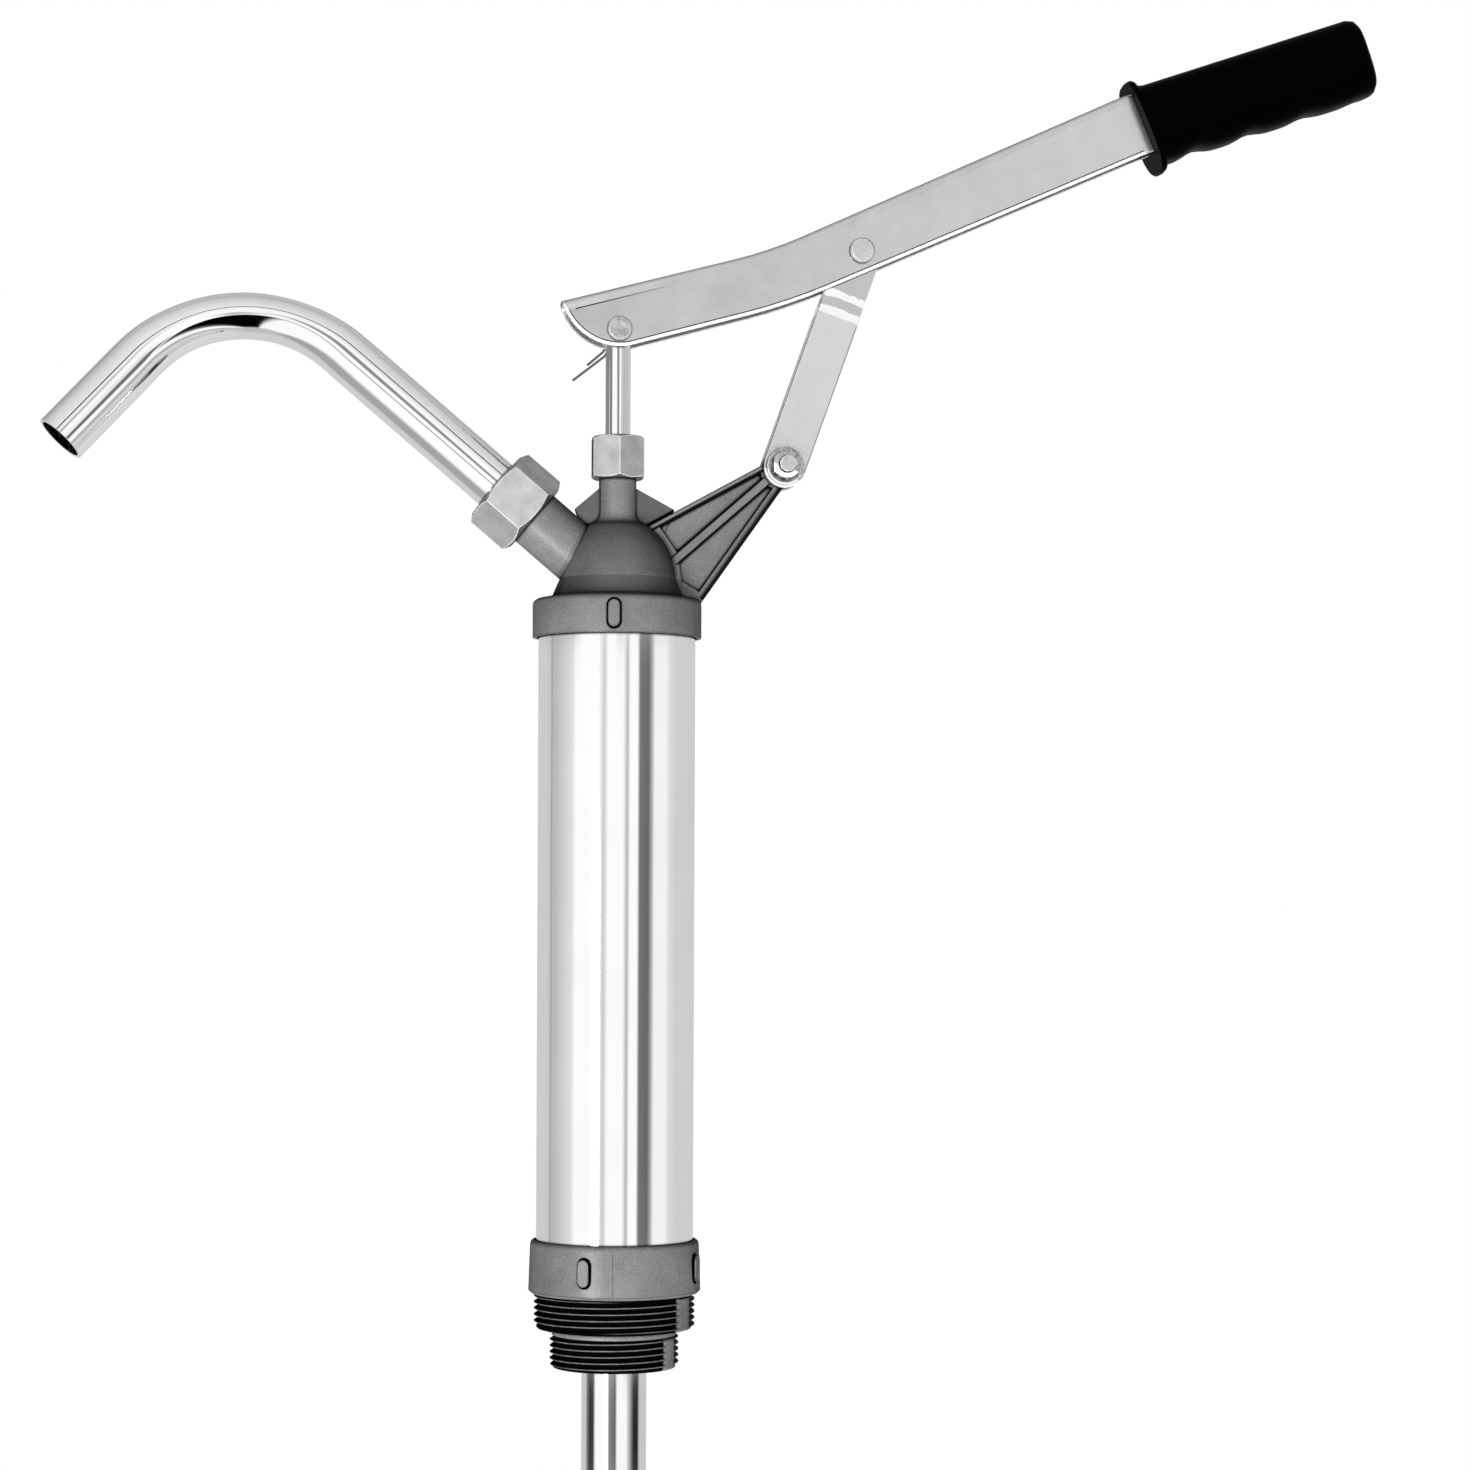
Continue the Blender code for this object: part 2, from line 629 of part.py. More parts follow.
def build_suction_tubes():
    radius = SUCTION_OD / 2
    inner = radius - SUCTION_WALL
    top = BASE_BOTTOM + SUCTION_SOCKET
    bottom = SLIDING_TUBE_TOP - SUCTION_OVERLAP
    ring("suction_tube_upper", inner, radius, bottom, top, "chrome", 32)

    sliding = SLIDING_TUBE_OD / 2
    bore = sliding - SLIDING_TUBE_WALL
    neck = radius + GAP
    ledge = SLIDING_TUBE_TOP - CRIMP_HEIGHT
    shoulder = round_over((neck + CRIMP_RIM, SLIDING_TUBE_TOP), (sliding, ledge - SLIDING_TUBE_WALL))
    bottom = SLIDING_TUBE_TOP - SLIDING_TUBE_LENGTH
    turned(
        "suction_tube_lower",
        [*shoulder, (sliding, bottom), (bore, bottom), (bore, ledge), (neck, ledge), (neck, SLIDING_TUBE_TOP)],
        "chrome",
        32,
    )
    ring(
        "suction_stop_ring",
        radius + GAP,
        bore - GAP,
        ledge - GAP - STOP_RING_LENGTH,
        ledge - GAP,
        "brass",
        32,
    )


def dome_curve(radius, height, steps=8):
    """The dome's ellipse from its highest point down to its base."""
    angles = [math.radians(DOME_SWEEP * (steps - i) / steps) for i in range(steps + 1)]
    base = HEAD_EDGE + DOME_BASE
    return [(radius * math.cos(a), base + height * math.sin(a)) for a in angles]


def head_outside():
    collar_top = HEAD_EDGE + HEAD_COLLAR_HEIGHT
    dome = dome_curve(DOME_RADIUS, DOME_HEIGHT)
    boss_foot = (BOSS_RADIUS, dome[0][1] + BOSS_RISE)
    band_foot = (HEAD_COLLAR - BAND_FOOT_IN, collar_top + BAND_FOOT_RISE)
    shoulder = round_over(
        (HEAD_COLLAR - COLLAR_SHOULDER, collar_top),
        (HEAD_COLLAR, collar_top - COLLAR_SHOULDER),
    )
    return turned(
        "head_casting",
        [
            (0, BOSS_END),
            (BOSS_RADIUS, BOSS_END),
            *flare(boss_foot, dome[0]),
            *dome[1:],
            band_foot,
            *shoulder,
            (HEAD_COLLAR, HEAD_EDGE),
            (0, HEAD_EDGE),
        ],
        "casting",
    )


def head_cavity():
    """The liquid chamber, the barrel's socket and the bore for the rod."""
    dome = dome_curve(DOME_RADIUS - HEAD_WALL, DOME_HEIGHT - HEAD_WALL, 5)
    shelf = BARREL_TOP + GASKET + 2 * GAP
    socket = BARREL_RADIUS + GAP
    rod = ROD_RADIUS + GAP
    over = HEAD_WALL
    return turned(
        "head_cavity",
        [
            (0, BOSS_END + over),
            (rod, BOSS_END + over),
            (rod, dome[0][1] + over / 2),
            *dome,
            (socket - HEAD_SHELF, shelf),
            (socket, shelf),
            (socket, HEAD_EDGE - over),
            (0, HEAD_EDGE - over),
        ],
    )


def raised(point):
    """A point given above the head's lower edge, as (x, z)."""
    return (point[0], HEAD_EDGE + point[1])


def bracket_arm():
    """The arm that carries the link: a web with rims, a middle rib and a round end."""
    pivot = LINK_PIVOT.xz
    top_root, rib_root, lower_root = map(raised, (ARM_TOP_ROOT, ARM_RIB_ROOT, ARM_LOWER_ROOT))
    top_end = tuple(pivot + direction(ARM_TOP_TURN) * ARM_END_RADIUS)
    rib_end = tuple(pivot + direction(ARM_RIB_TURN) * ARM_END_RADIUS)
    lower_end = tuple(pivot + direction(ARM_LOWER_TURN) * ARM_END_RADIUS)
    inside = (DOME_RADIUS - HEAD_WALL) / 3
    low = HEAD_EDGE + HEAD_COLLAR_HEIGHT - COLLAR_SHOULDER
    outline = [
        (inside, top_root[1] - inside),
        top_root,
        top_end,
        tuple(pivot),
        lower_end,
        lower_root,
        (HEAD_COLLAR - HEAD_COLLAR_WALL / 2, low),
        (inside, low),
    ]
    arm = plate("bracket_arm", outline, 0, ARM_WIDTH)
    upper = [top_root, top_end, rib_end, rib_root]
    bay_foot = (HEAD_COLLAR - ARM_BAY_FOOT_IN, HEAD_EDGE + DOME_BASE - ARM_RIB / 2)
    lower = [rib_root, rib_end, lower_end, lower_root, bay_foot]
    bays = {
        "upper": inset(upper, (ARM_TOP_RIM, ARM_BAY_END, ARM_RIB / 2, ARM_LOWER_RIM)),
        "lower": inset(lower, (ARM_RIB / 2, ARM_BAY_END, ARM_LOWER_RIM, ARM_BAY_ROOT, ARM_BAY_ROOT)),
    }
    for side in (-1, 1):
        for name, bay in bays.items():
            middle = side * (ARM_WEB / 2 + ARM_WIDTH)
            cut(arm, plate(f"arm_bay_{name}_{side}", bay, middle, 2 * ARM_WIDTH))
    half = ARM_WIDTH / 2
    return join(arm, across("arm_end", LINK_PIVOT, ARM_BOSS_RADIUS, -half, half, sides=ROUND))


def gussets():
    """Two thin webs that stiffen the boss, towards the neck and towards the arm."""
    foot = DOME_BASE + DOME_HEIGHT / 2
    plates = []
    for name, side, reach in (("left", -1, GUSSET_LEFT_REACH), ("right", 1, GUSSET_RIGHT_REACH)):
        outline = [
            (0, GUSSET_TOP),
            (side * BOSS_RADIUS, GUSSET_TOP),
            (side * reach, GUSSET_TOP - GUSSET_DROP),
            (side * GUSSET_TAPER * reach, foot),
            (0, foot),
        ]
        plates.append(plate(f"gusset_{name}", list(map(raised, outline)), 0, GUSSET_WIDTH))
    return plates


def build_head():
    neck = aim(disc("neck", NECK_RADIUS, 0, NECK_LENGTH, sides=ROUND), NECK_ORIGIN, NECK_AXIS)
    neck_bore = disc("neck_bore", NECK_BORE, NECK_BORE, NECK_LENGTH + OVERCUT, sides=36)
    aim(neck_bore, NECK_ORIGIN, NECK_AXIS)
    pads = lugs("head_lug", HEAD_COLLAR, HEAD_EDGE + HEAD_LUG_LEVEL, HEAD_LUG_TURN, HEAD_LUGS)
    casting = join(head_outside(), neck, bracket_arm(), *gussets(), *pads)
    pivot_bore = across("pivot_bore", LINK_PIVOT, BOLT_RADIUS + GAP, -ARM_WIDTH, ARM_WIDTH)
    cut(casting, head_cavity(), neck_bore, pivot_bore)
    ring(
        "head_gasket",
        BARREL_INNER,
        BARREL_RADIUS,
        BARREL_TOP + GAP,
        BARREL_TOP + GAP + GASKET,
        "seal_rubber",
    )


def build_gland():
    bottom = BOSS_END - GLAND_COVER
    top = bottom + GLAND_NUT_HEIGHT
    nut, _ = hexagon("gland_nut", GLAND_NUT_FLATS, bottom, top, "zinc")
    thread = disc("gland_nut_thread", BOSS_RADIUS + GAP, bottom - OVERCUT, top - GLAND_NUT_FLOOR, sides=32)
    hole = disc("gland_nut_hole", ROD_RADIUS + GAP, bottom, top + OVERCUT, sides=32)
    cut(nut, thread, hole)
    packing = BOSS_END + GAP
    ring(
        "gland_packing",
        ROD_RADIUS + GAP,
        BOSS_RADIUS,
        packing,
        packing + PACKING_HEIGHT,
        "seal_rubber",
        32,
    )


def spout_path(extra=0):
    """Points along the spout's centre line; extra lengthens both ends."""
    start = NECK_LENGTH + GAP - extra
    bend = NECK_ORIGIN + NECK_AXIS * SPOUT_STRAIGHT
    points = [NECK_ORIGIN + NECK_AXIS * start]
    steps = 14
    for i in range(steps + 1):
        turn = SPOUT_BEND * i / steps
        points.append(
            bend
            + NECK_AXIS * (SPOUT_BEND_RADIUS * math.sin(turn))
            + SPOUT_TURN * (SPOUT_BEND_RADIUS * (1 - math.cos(turn)))
        )
    heading = NECK_AXIS * math.cos(SPOUT_BEND) + SPOUT_TURN * math.sin(SPOUT_BEND)
    points.append(points[-1] + heading * (SPOUT_END + extra))
    return points


def build_spout():
    radius = SPOUT_OD / 2
    tube = wire("spout_tube", spout_path(), radius, "chrome", resolution=7)
    cut(tube, wire("spout_bore", spout_path(2 * MM), radius - SPOUT_WALL, resolution=7))
    start = NECK_LENGTH + GAP
    ferrule = ring(
        "spout_ferrule", radius + GAP, NECK_RADIUS, start, start + FERRULE_HEIGHT, "brass", 32
    )
    aim(ferrule, NECK_ORIGIN, NECK_AXIS)

    end = SPOUT_NUT_START + SPOUT_NUT_LENGTH
    nut, chamfer = hexagon("spout_nut", SPOUT_NUT_FLATS, SPOUT_NUT_START, end, "zinc")
    shelf = start + FERRULE_HEIGHT + GAP
    thread = disc("spout_nut_thread", NECK_RADIUS + GAP, SPOUT_NUT_START - OVERCUT, shelf, sides=36)
    hole = disc("spout_nut_hole", radius + GAP, SPOUT_NUT_START, end + OVERCUT, sides=36)
    for obj in (nut, chamfer, thread, hole):
        aim(obj, NECK_ORIGIN, NECK_AXIS, facing=-ACROSS)
    cut(nut, thread, hole)


def build_rod():
    """The pump rod, with a cross hole at the top and a thinner end that holds the piston."""
    top = ROD_PIVOT.z + ROD_EYE
    shoulder = piston_top() + VALVE_PLATE_THICKNESS + VALVE_LIFT + VALVE_STOP_THICKNESS + 3 * GAP
    chamfer = ROD_RADIUS / 5
    rod = turned(
        "pump_rod",
        [
            (0, top),
            (ROD_RADIUS - chamfer, top),
            (ROD_RADIUS, top - chamfer),
            (ROD_RADIUS, shoulder),
            (ROD_SPIGOT_RADIUS, shoulder),
            (ROD_SPIGOT_RADIUS, ROD_END),
            (0, ROD_END),
        ],
        "chrome",
        32,
    )
    cut(rod, across("rod_eye", ROD_PIVOT, PIN_RADIUS + GAP, -2 * ROD_RADIUS, 2 * ROD_RADIUS))


def piston_bottom():
    return ROD_END + PISTON_NUT_HEIGHT + PISTON_NUT_PLAY + GAP


def piston_top():
    return piston_bottom() + PISTON_HEIGHT


def build_piston():
    """The piston with its cup and ports, the lifting plate over the ports and the stop above it."""
    hole = ROD_SPIGOT_RADIUS + GAP
    running = BARREL_INNER - 2 * GAP
    bottom, top = piston_bottom(), piston_top()
    groove = running - CUP_DEPTH
    land = (PISTON_HEIGHT - CUP_HEIGHT) / 2
    piston = turned(
        "piston",
        [
            (running, top),
            (running, top - land),
            (groove, top - land),
            (groove, bottom + land),
            (running, bottom + land),
            (running, bottom),
            (hole, bottom),
            (hole, top),
        ],
        "brass",
    )
    for i in range(PORTS):
        turn = 2 * math.pi * i / PORTS
        port = disc(f"piston_port_{i + 1}", PORT_RADIUS, bottom - OVERCUT, top + OVERCUT, sides=12)
        port.location = Vector((math.cos(turn), math.sin(turn), 0)) * PORT_CIRCLE / 2
        cut(piston, port)
    ring("piston_cup", groove + GAP, BARREL_INNER - GAP, bottom + land + GAP, top - land - GAP, "seal_rubber")
    nut_top = bottom - GAP
    nut, _ = hexagon("piston_nut", PISTON_NUT_FLATS, nut_top - PISTON_NUT_HEIGHT, nut_top, "zinc")
    cut(nut, disc("piston_nut_thread", hole, ROD_END - OVERCUT, top))

    plate_bottom = top + GAP
    plate_top = plate_bottom + VALVE_PLATE_THICKNESS
    ring("piston_valve_plate", hole, VALVE_PLATE_RADIUS, plate_bottom, plate_top, "nylon", 36)
    stop = plate_top + VALVE_LIFT + GAP
    ring("piston_valve_stop", hole, VALVE_STOP_RADIUS, stop, stop + VALVE_STOP_THICKNESS, "zinc", 36)


def build_rod_pin():
    """The pin that joins the rod to the lever, with its washer and cotter."""
    side = LEVER_WIDTH / 2 + GAP
    washer_end = side + PIN_WASHER
    cotter = washer_end + GAP + 3 * COTTER_WIRE_RADIUS
    tail = cotter + PIN_TAIL - COTTER_WIRE_RADIUS
    head_top = -side - PIN_HEAD
    dome = PIN_HEAD / 3
    pin = turned(
        "rod_pin",
        [
            (0, tail),
            (PIN_RADIUS - dome, tail),
            (PIN_RADIUS, tail - dome),
            (PIN_RADIUS, -side),
            (PIN_HEAD_RADIUS, -side),
            (PIN_HEAD_RADIUS, head_top + dome),
            (PIN_HEAD_RADIUS - dome, head_top),
            (0, head_top),
        ],
        "zinc",
        SMALL_ROUND,
    )
    aim(pin, ROD_PIVOT, ACROSS)
    heading = Vector((math.cos(COTTER_TURN), 0, math.sin(COTTER_TURN)))
    centre = ROD_PIVOT + ACROSS * cotter
    spread = COTTER_WIRE_RADIUS + GAP / 3
    hole = disc("cotter_hole", spread + COTTER_WIRE_RADIUS + GAP / 2, -2 * PIN_RADIUS, 2 * PIN_RADIUS, sides=12)
    cut(pin, aim(hole, centre, heading))
    aim(
        ring("rod_pin_washer", PIN_RADIUS + GAP, PIN_WASHER_RADIUS, side, washer_end, "zinc", SMALL_ROUND),
        ROD_PIVOT,
        ACROSS,
    )
    legs = (COTTER_LONG_LEG, reversed(COTTER_SHORT_LEG))
    long_leg, short_leg = ([centre + Vector((x, 0, z)) for x, z in leg] for leg in legs)
    leave = heading * (PIN_RADIUS + 2 * COTTER_WIRE_RADIUS)
    apart = ACROSS.cross(heading) * spread
    half_gap = math.degrees(math.asin(spread / COTTER_EYE_RADIUS))
    reach = COTTER_EYE_RADIUS * math.cos(math.radians(half_gap)) + PIN_RADIUS + 2 * COTTER_WIRE_RADIUS
    eye = [
        centre - heading * (reach + along) + apart * sideways / spread
        for along, sideways in arc((0, 0), COTTER_EYE_RADIUS, 180 + half_gap, 540 - half_gap, 14)
    ]
    path = [*long_leg, centre + leave - apart, *eye, centre + leave + apart, *short_leg]
    wire("cotter_pin", path, COTTER_WIRE_RADIUS, "zinc")


def rounded_path(corners, radii, step=math.radians(3)):
    """Points along straight runs that meet in arcs; radii belong to the inner corners."""
    points = [corners[0]]
    for before, corner, after, radius in zip(corners, corners[1:], corners[2:], radii):
        arrive = (corner - before).normalized()
        leave = (after - corner).normalized()
        turn = math.asin(arrive.cross(leave))
        trim = radius * math.tan(abs(turn) / 2)
        centre = corner - arrive * trim + Vector((-arrive.y, arrive.x)) * math.copysign(radius, turn)
        spoke = corner - arrive * trim - centre
        steps = max(2, math.ceil(abs(turn) / step))
        for i in range(steps + 1):
            points.append(centre + Matrix.Rotation(turn * i / steps, 2) @ spoke)
    return [*points, corners[-1]]


def lever_corners():
    """The top line of the lever as (x, z) corners, from its nose to its end inside the grip."""
    front = direction(LEVER_FRONT_ANGLE)
    above = ROD_PIVOT.xz + Vector((-front.y, front.x)) * LEVER_ABOVE_PIVOT
    bend = above + front * LEVER_FRONT
    grip = bend + direction(LEVER_REAR_ANGLE) * LEVER_REAR
    return [above - front * LEVER_OVERHANG, bend, grip, grip + direction(GRIP_ANGLE) * LEVER_IN_GRIP]


def coin_cheeks(channel):
    """Chamfers the outer lower edges and the nose of the lever, but not its holes."""
    channel = baked(channel)
    bm = bmesh.new()
    bm.from_mesh(channel.data)
    bmesh.ops.dissolve_limit(bm, angle_limit=FLAT, verts=bm.verts, edges=bm.edges)
    grip = lever_corners()[2].x
    holes = ((ROD_PIVOT, 2 * PIN_RADIUS), (JOINT_PIVOT, 2 * RIVET_RADIUS))

    def is_outer_edge(edge):
        middle = (edge.verts[0].co + edge.verts[1].co) / 2
        sides = sorted(abs(face.normal.y) for face in edge.link_faces)
        at_hole = any((middle - hole).xz.length < radius for hole, radius in holes)
        outside = abs(middle.y) > LEVER_WIDTH / 2 - LEVER_SHEET / 4
        square = sides[0] < SLIGHT and sides[1] > 1 - SLIGHT
        return outside and square and middle.x < grip and not at_hole

    edges = [edge for edge in bm.edges if len(edge.link_faces) == 2 and is_outer_edge(edge)]
    bmesh.ops.bevel(bm, geom=edges, offset=LEVER_COIN, segments=1, affect="EDGES", clamp_overlap=False)
    bm.to_mesh(channel.data)
    bm.free()


def build_lever():
    """A channel of bent sheet, open downwards, whose cheeks end in a round nose."""
    corners = lever_corners()
    line = rounded_path(corners, (LEVER_BEND_RADIUS, LEVER_GRIP_RADIUS))
    to_bend = LEVER_OVERHANG + LEVER_FRONT
    places = (0, to_bend, to_bend + LEVER_REAR)
    depths = (LEVER_NOSE_DEPTH, LEVER_BEND_DEPTH, LEVER_GRIP_DEPTH)
    half = LEVER_WIDTH / 2
    bend = arc((half - LEVER_CORNER, -LEVER_CORNER), LEVER_CORNER, 0, 90, 4)
    rows = []
    travelled = 0
    for i, point in enumerate(line):
        before, after = line[max(i - 1, 0)], line[min(i + 1, len(line) - 1)]
        travelled += (point - before).length
        along = (after - before).normalized()
        down = Vector((along.y, -along.x))
        depth = float(np.interp(travelled, places, depths))
        side = [(half, -depth), *bend]
        section = side + [(-y, drop) for y, drop in reversed(side)]
        rows.append([(*(point - down * drop), y) for y, drop in section])
    rows = [[(x, y, z) for x, z, y in row] for row in rows]
    channel = loft("lever_channel", rows, "zinc")
    shell = channel.modifiers.new("Sheet", "SOLIDIFY")
    shell.thickness = LEVER_SHEET
    shell.offset = -1
    shell.use_even_offset = True

    nose = Matrix.Translation((corners[0].x, 0, corners[0].y)) @ Matrix.Rotation(-LEVER_FRONT_ANGLE, 4, "Y")
    depth = LEVER_NOSE_DEPTH
    outline = [*arc((depth, 0), depth, 180, 270, 12), (depth, -2 * depth), (-depth, -2 * depth), (-depth, 0)]
    cut(channel, plate("lever_nose", outline, 0, 2 * LEVER_WIDTH, frame=nose))
    for name, pivot, radius in (("rod", ROD_PIVOT, PIN_RADIUS), ("link", JOINT_PIVOT, RIVET_RADIUS)):
        cut(channel, across(f"lever_{name}_hole", pivot, radius + GAP, -LEVER_WIDTH, LEVER_WIDTH))
    coin_cheeks(channel)


def build_lever_rivets():
    """The two ends of the rivet that joins the lever to its link."""
    inner = LEVER_WIDTH / 2 - LEVER_SHEET
    side = LEVER_WIDTH / 2 + GAP
    top = side + RIVET_HEAD
    edge = RIVET_HEAD / 3
    for name, facing in (("near", -ACROSS), ("far", ACROSS)):
        rivet = turned(
            f"link_rivet_{name}",
            [
                (0, top),
                (RIVET_HEAD_RADIUS - edge, top),
                (RIVET_HEAD_RADIUS, top - edge),
                (RIVET_HEAD_RADIUS, side),
                (RIVET_RADIUS, side),
                (RIVET_RADIUS, inner),
                (0, inner),
            ],
            "zinc",
            SMALL_ROUND,
        )
        aim(rivet, JOINT_PIVOT, facing)


def finger_hollow(distance):
    """How far the grip's underside rises at a distance from its front end."""
    hollow = (distance - FINGER_FIRST) / FINGER_PITCH
    if not -0.5 < hollow < GRIP_FINGERS - 0.5:
        return 0
    depth = float(np.interp(hollow, (0, GRIP_FINGERS - 1), (FINGER_DEPTH, FINGER_LAST_DEPTH)))
    return depth * math.cos(math.pi * hollow) ** 4


def build_grip():
    """A moulded sleeve with a guard flange, finger swells and a blind pocket for the lever."""
    start = lever_corners()[2]
    along = direction(GRIP_ANGLE)
    up = Vector((-along.y, along.x))
    top = GRIP_TOP_WALL + GAP
    middle = top - GRIP_HEIGHT / 2

    def place(distance, rise, sideways):
        x, z = start + along * distance + up * rise
        return (x, sideways, z)

    def section(distance, width, height, lift=0, lean=0):
        """A rounded rectangle; lift raises its underside and lean tips its top forward."""
        ring_points = []
        for i in range(24):
            turn = 2 * math.pi * i / 24
            y = math.copysign(abs(math.cos(turn)) ** GRIP_SQUARENESS, math.cos(turn)) * width / 2
            rise = math.copysign(abs(math.sin(turn)) ** GRIP_SQUARENESS, math.sin(turn)) * height / 2
            if rise < 0:
                rise *= 1 - 2 * lift / height
            ring_points.append(place(GRIP_SETBACK + distance - rise * math.tan(lean), middle + rise, y))
        return ring_points

    edge = GRIP_FLANGE / 4
    flange = (GRIP_FLANGE_WIDTH, GRIP_FLANGE_HEIGHT)
    slim = (GRIP_FLANGE_WIDTH - 2 * edge, GRIP_FLANGE_HEIGHT - 2 * edge)
    neck = (GRIP_WIDTH + 2 * edge, GRIP_HEIGHT + 2 * edge)
    rows = [
        section(0, *slim, lean=GRIP_FLANGE_LEAN),
        section(edge, *flange, lean=GRIP_FLANGE_LEAN),
        section(GRIP_FLANGE - edge, *flange, lean=GRIP_FLANGE_LEAN),
        section(GRIP_FLANGE, *slim, lean=GRIP_FLANGE_LEAN),
        section(GRIP_FLANGE + GRIP_FLANGE_FOOT, *neck, lean=GRIP_FLANGE_LEAN),
    ]
    first = 2 * GRIP_FLANGE
    end = GRIP_LENGTH - GRIP_END_ROUND
    steps = 8 * GRIP_FINGERS
    for i in range(steps + 1):
        distance = first + (end - first) * i / steps
        rows.append(section(distance, GRIP_WIDTH, GRIP_HEIGHT, lift=finger_hollow(distance)))
    for turn in (35, 65, 85):
        shrink = 2 * GRIP_END_ROUND * (1 - math.cos(math.radians(turn)))
        distance = end + GRIP_END_ROUND * math.sin(math.radians(turn))
        rows.append(section(distance, GRIP_WIDTH - shrink, GRIP_HEIGHT - shrink))
    grip = loft("hand_grip", rows, "black_pvc", closed=True)

    half = LEVER_WIDTH / 2 + GAP
    low = -LEVER_GRIP_DEPTH - GAP
    corner = LEVER_CORNER / 2
    pocket = [(half, low), (half, GAP - corner), (half - corner, GAP)]
    pocket += [(-y, rise) for y, rise in reversed(pocket)]
    ends = (-LEVER_IN_GRIP / 4, LEVER_IN_GRIP + GAP)
    cut(grip, loft("grip_pocket", [[place(u, rise, y) for y, rise in pocket] for u in ends], closed=True))


def build_link():
    """Two joggled straps, bolted outside the bracket arm and riveted inside the lever."""
    frame = Matrix.Translation(LINK_PIVOT) @ Matrix.Rotation(LINK_LEAN, 4, "Y")
    sideways = frame @ Matrix.Rotation(math.pi / 2, 4, "Z")
    low = ARM_WIDTH / 2 + GAP
    high = LEVER_WIDTH / 2 - LEVER_SHEET - GAP - STRAP_THICKNESS
    over = LINK_LENGTH / 2
    joggle_end = JOGGLE_START + JOGGLE_LENGTH
    mitre = STRAP_THICKNESS * math.tan(math.atan2(low - high, JOGGLE_LENGTH) / 2)
    inner = [(low, -over), (low, JOGGLE_START), (high, joggle_end), (high, LINK_LENGTH + over)]
    outer = [
        (high + STRAP_THICKNESS, LINK_LENGTH + over),
        (high + STRAP_THICKNESS, joggle_end + mitre),
        (low + STRAP_THICKNESS, JOGGLE_START + mitre),
        (low + STRAP_THICKNESS, -over),
    ]
    half = STRAP_WIDTH / 2
    outline = [*arc((0, 0), half, 180, 360, 16), *arc((0, LINK_LENGTH), half, 0, 180, 16)]
    for name, side in (("near", -1), ("far", 1)):
        strap = plate(f"link_strap_{name}", outline, 0, 2 * LEVER_WIDTH, "zinc", frame)
        edge = [(side * y, z) for y, z in inner + outer]
        boolean(strap, "INTERSECT", plate(f"strap_bend_{name}", edge, 0, 2 * STRAP_WIDTH, frame=sideways))
        reach = LEVER_WIDTH
        bolt_hole = across(f"strap_bolt_hole_{name}", LINK_PIVOT, BOLT_RADIUS + GAP, -reach, reach)
        rivet_hole = across(f"strap_rivet_hole_{name}", JOINT_PIVOT, RIVET_RADIUS + GAP, -reach, reach)
        cut(strap, bolt_hole, rivet_hole)
    end = high + STRAP_THICKNESS
    across("link_spindle", JOINT_PIVOT, RIVET_RADIUS, -end, end, "zinc")


def build_bracket_bolt():
    """The bolt, washer and nut that carry the link on the bracket arm."""
    strap = ARM_WIDTH / 2 + STRAP_THICKNESS + 2 * GAP
    washer = strap + WASHER_THICKNESS
    nut_start = washer + GAP
    nut_end = nut_start + BOLT_NUT
    head, chamfer = hexagon("bracket_bolt", BOLT_FLATS, -strap - BOLT_HEAD, -strap, "zinc")
    shank = disc("bracket_shank", BOLT_RADIUS, -strap - BOLT_HEAD / 2, nut_end + BOLT_TAIL)
    washer_ring = ring(
        "bracket_washer", BOLT_RADIUS + GAP, WASHER_RADIUS, strap, washer, "zinc", SMALL_ROUND
    )
    nut, nut_chamfer = hexagon("bracket_nut", BOLT_FLATS, nut_start, nut_end, "zinc")
    thread = disc("bracket_nut_thread", BOLT_RADIUS + GAP, washer, nut_end + OVERCUT)
    for obj in (head, chamfer, shank, washer_ring, nut, nut_chamfer, thread):
        aim(obj, LINK_PIVOT, -ACROSS)
    join(head, shank)
    cut(nut, thread)


MOVING = {
    "spout_swivel": (NECK_ORIGIN, ("spout_tube", "spout_ferrule")),
    "suction_extension": (Vector((0, 0, SLIDING_TUBE_TOP)), ("suction_tube_lower",)),
    "foot_valve_travel": (Vector((0, 0, BASE_FLOOR)), ("foot_valve_ball",)),
    "rod_travel": (
        ROD_PIVOT,
        (
            "pump_rod",
            "piston",
            "piston_cup",
            "piston_nut",
            "piston_valve_stop",
            "rod_pin",
            "rod_pin_washer",
            "cotter_pin",
        ),
    ),
    "piston_valve_travel": (Vector((0, 0, ROD_END)), ("piston_valve_plate",)),
    "lever_pivot": (ROD_PIVOT, ("lever_channel", "hand_grip", "link_rivet_near", "link_rivet_far")),
    "link_pivot": (LINK_PIVOT, ("link_strap_near", "link_strap_far", "link_spindle")),
}
CARRIED_BY = {"piston_valve_travel": "rod_travel", "lever_pivot": "rod_travel"}


def rig():
    """Hangs each moving group on an empty at its joint."""
    empties = {}
    for name, (place, members) in MOVING.items():
        empty = bpy.data.objects.new(name, None)
        empty.empty_display_size = 10 * MM
        PARTS.objects.link(empty)
        empty.matrix_world = Matrix.Translation(place)
        empties[name] = empty
        for member in members:
            obj = bpy.data.objects[member]
            world = obj.matrix_world.copy()
            obj.parent = empty
            obj.matrix_world = world
    for name, carrier in CARRIED_BY.items():
        world = empties[name].matrix_world.copy()
        empties[name].parent = empties[carrier]
        empties[name].matrix_world = world


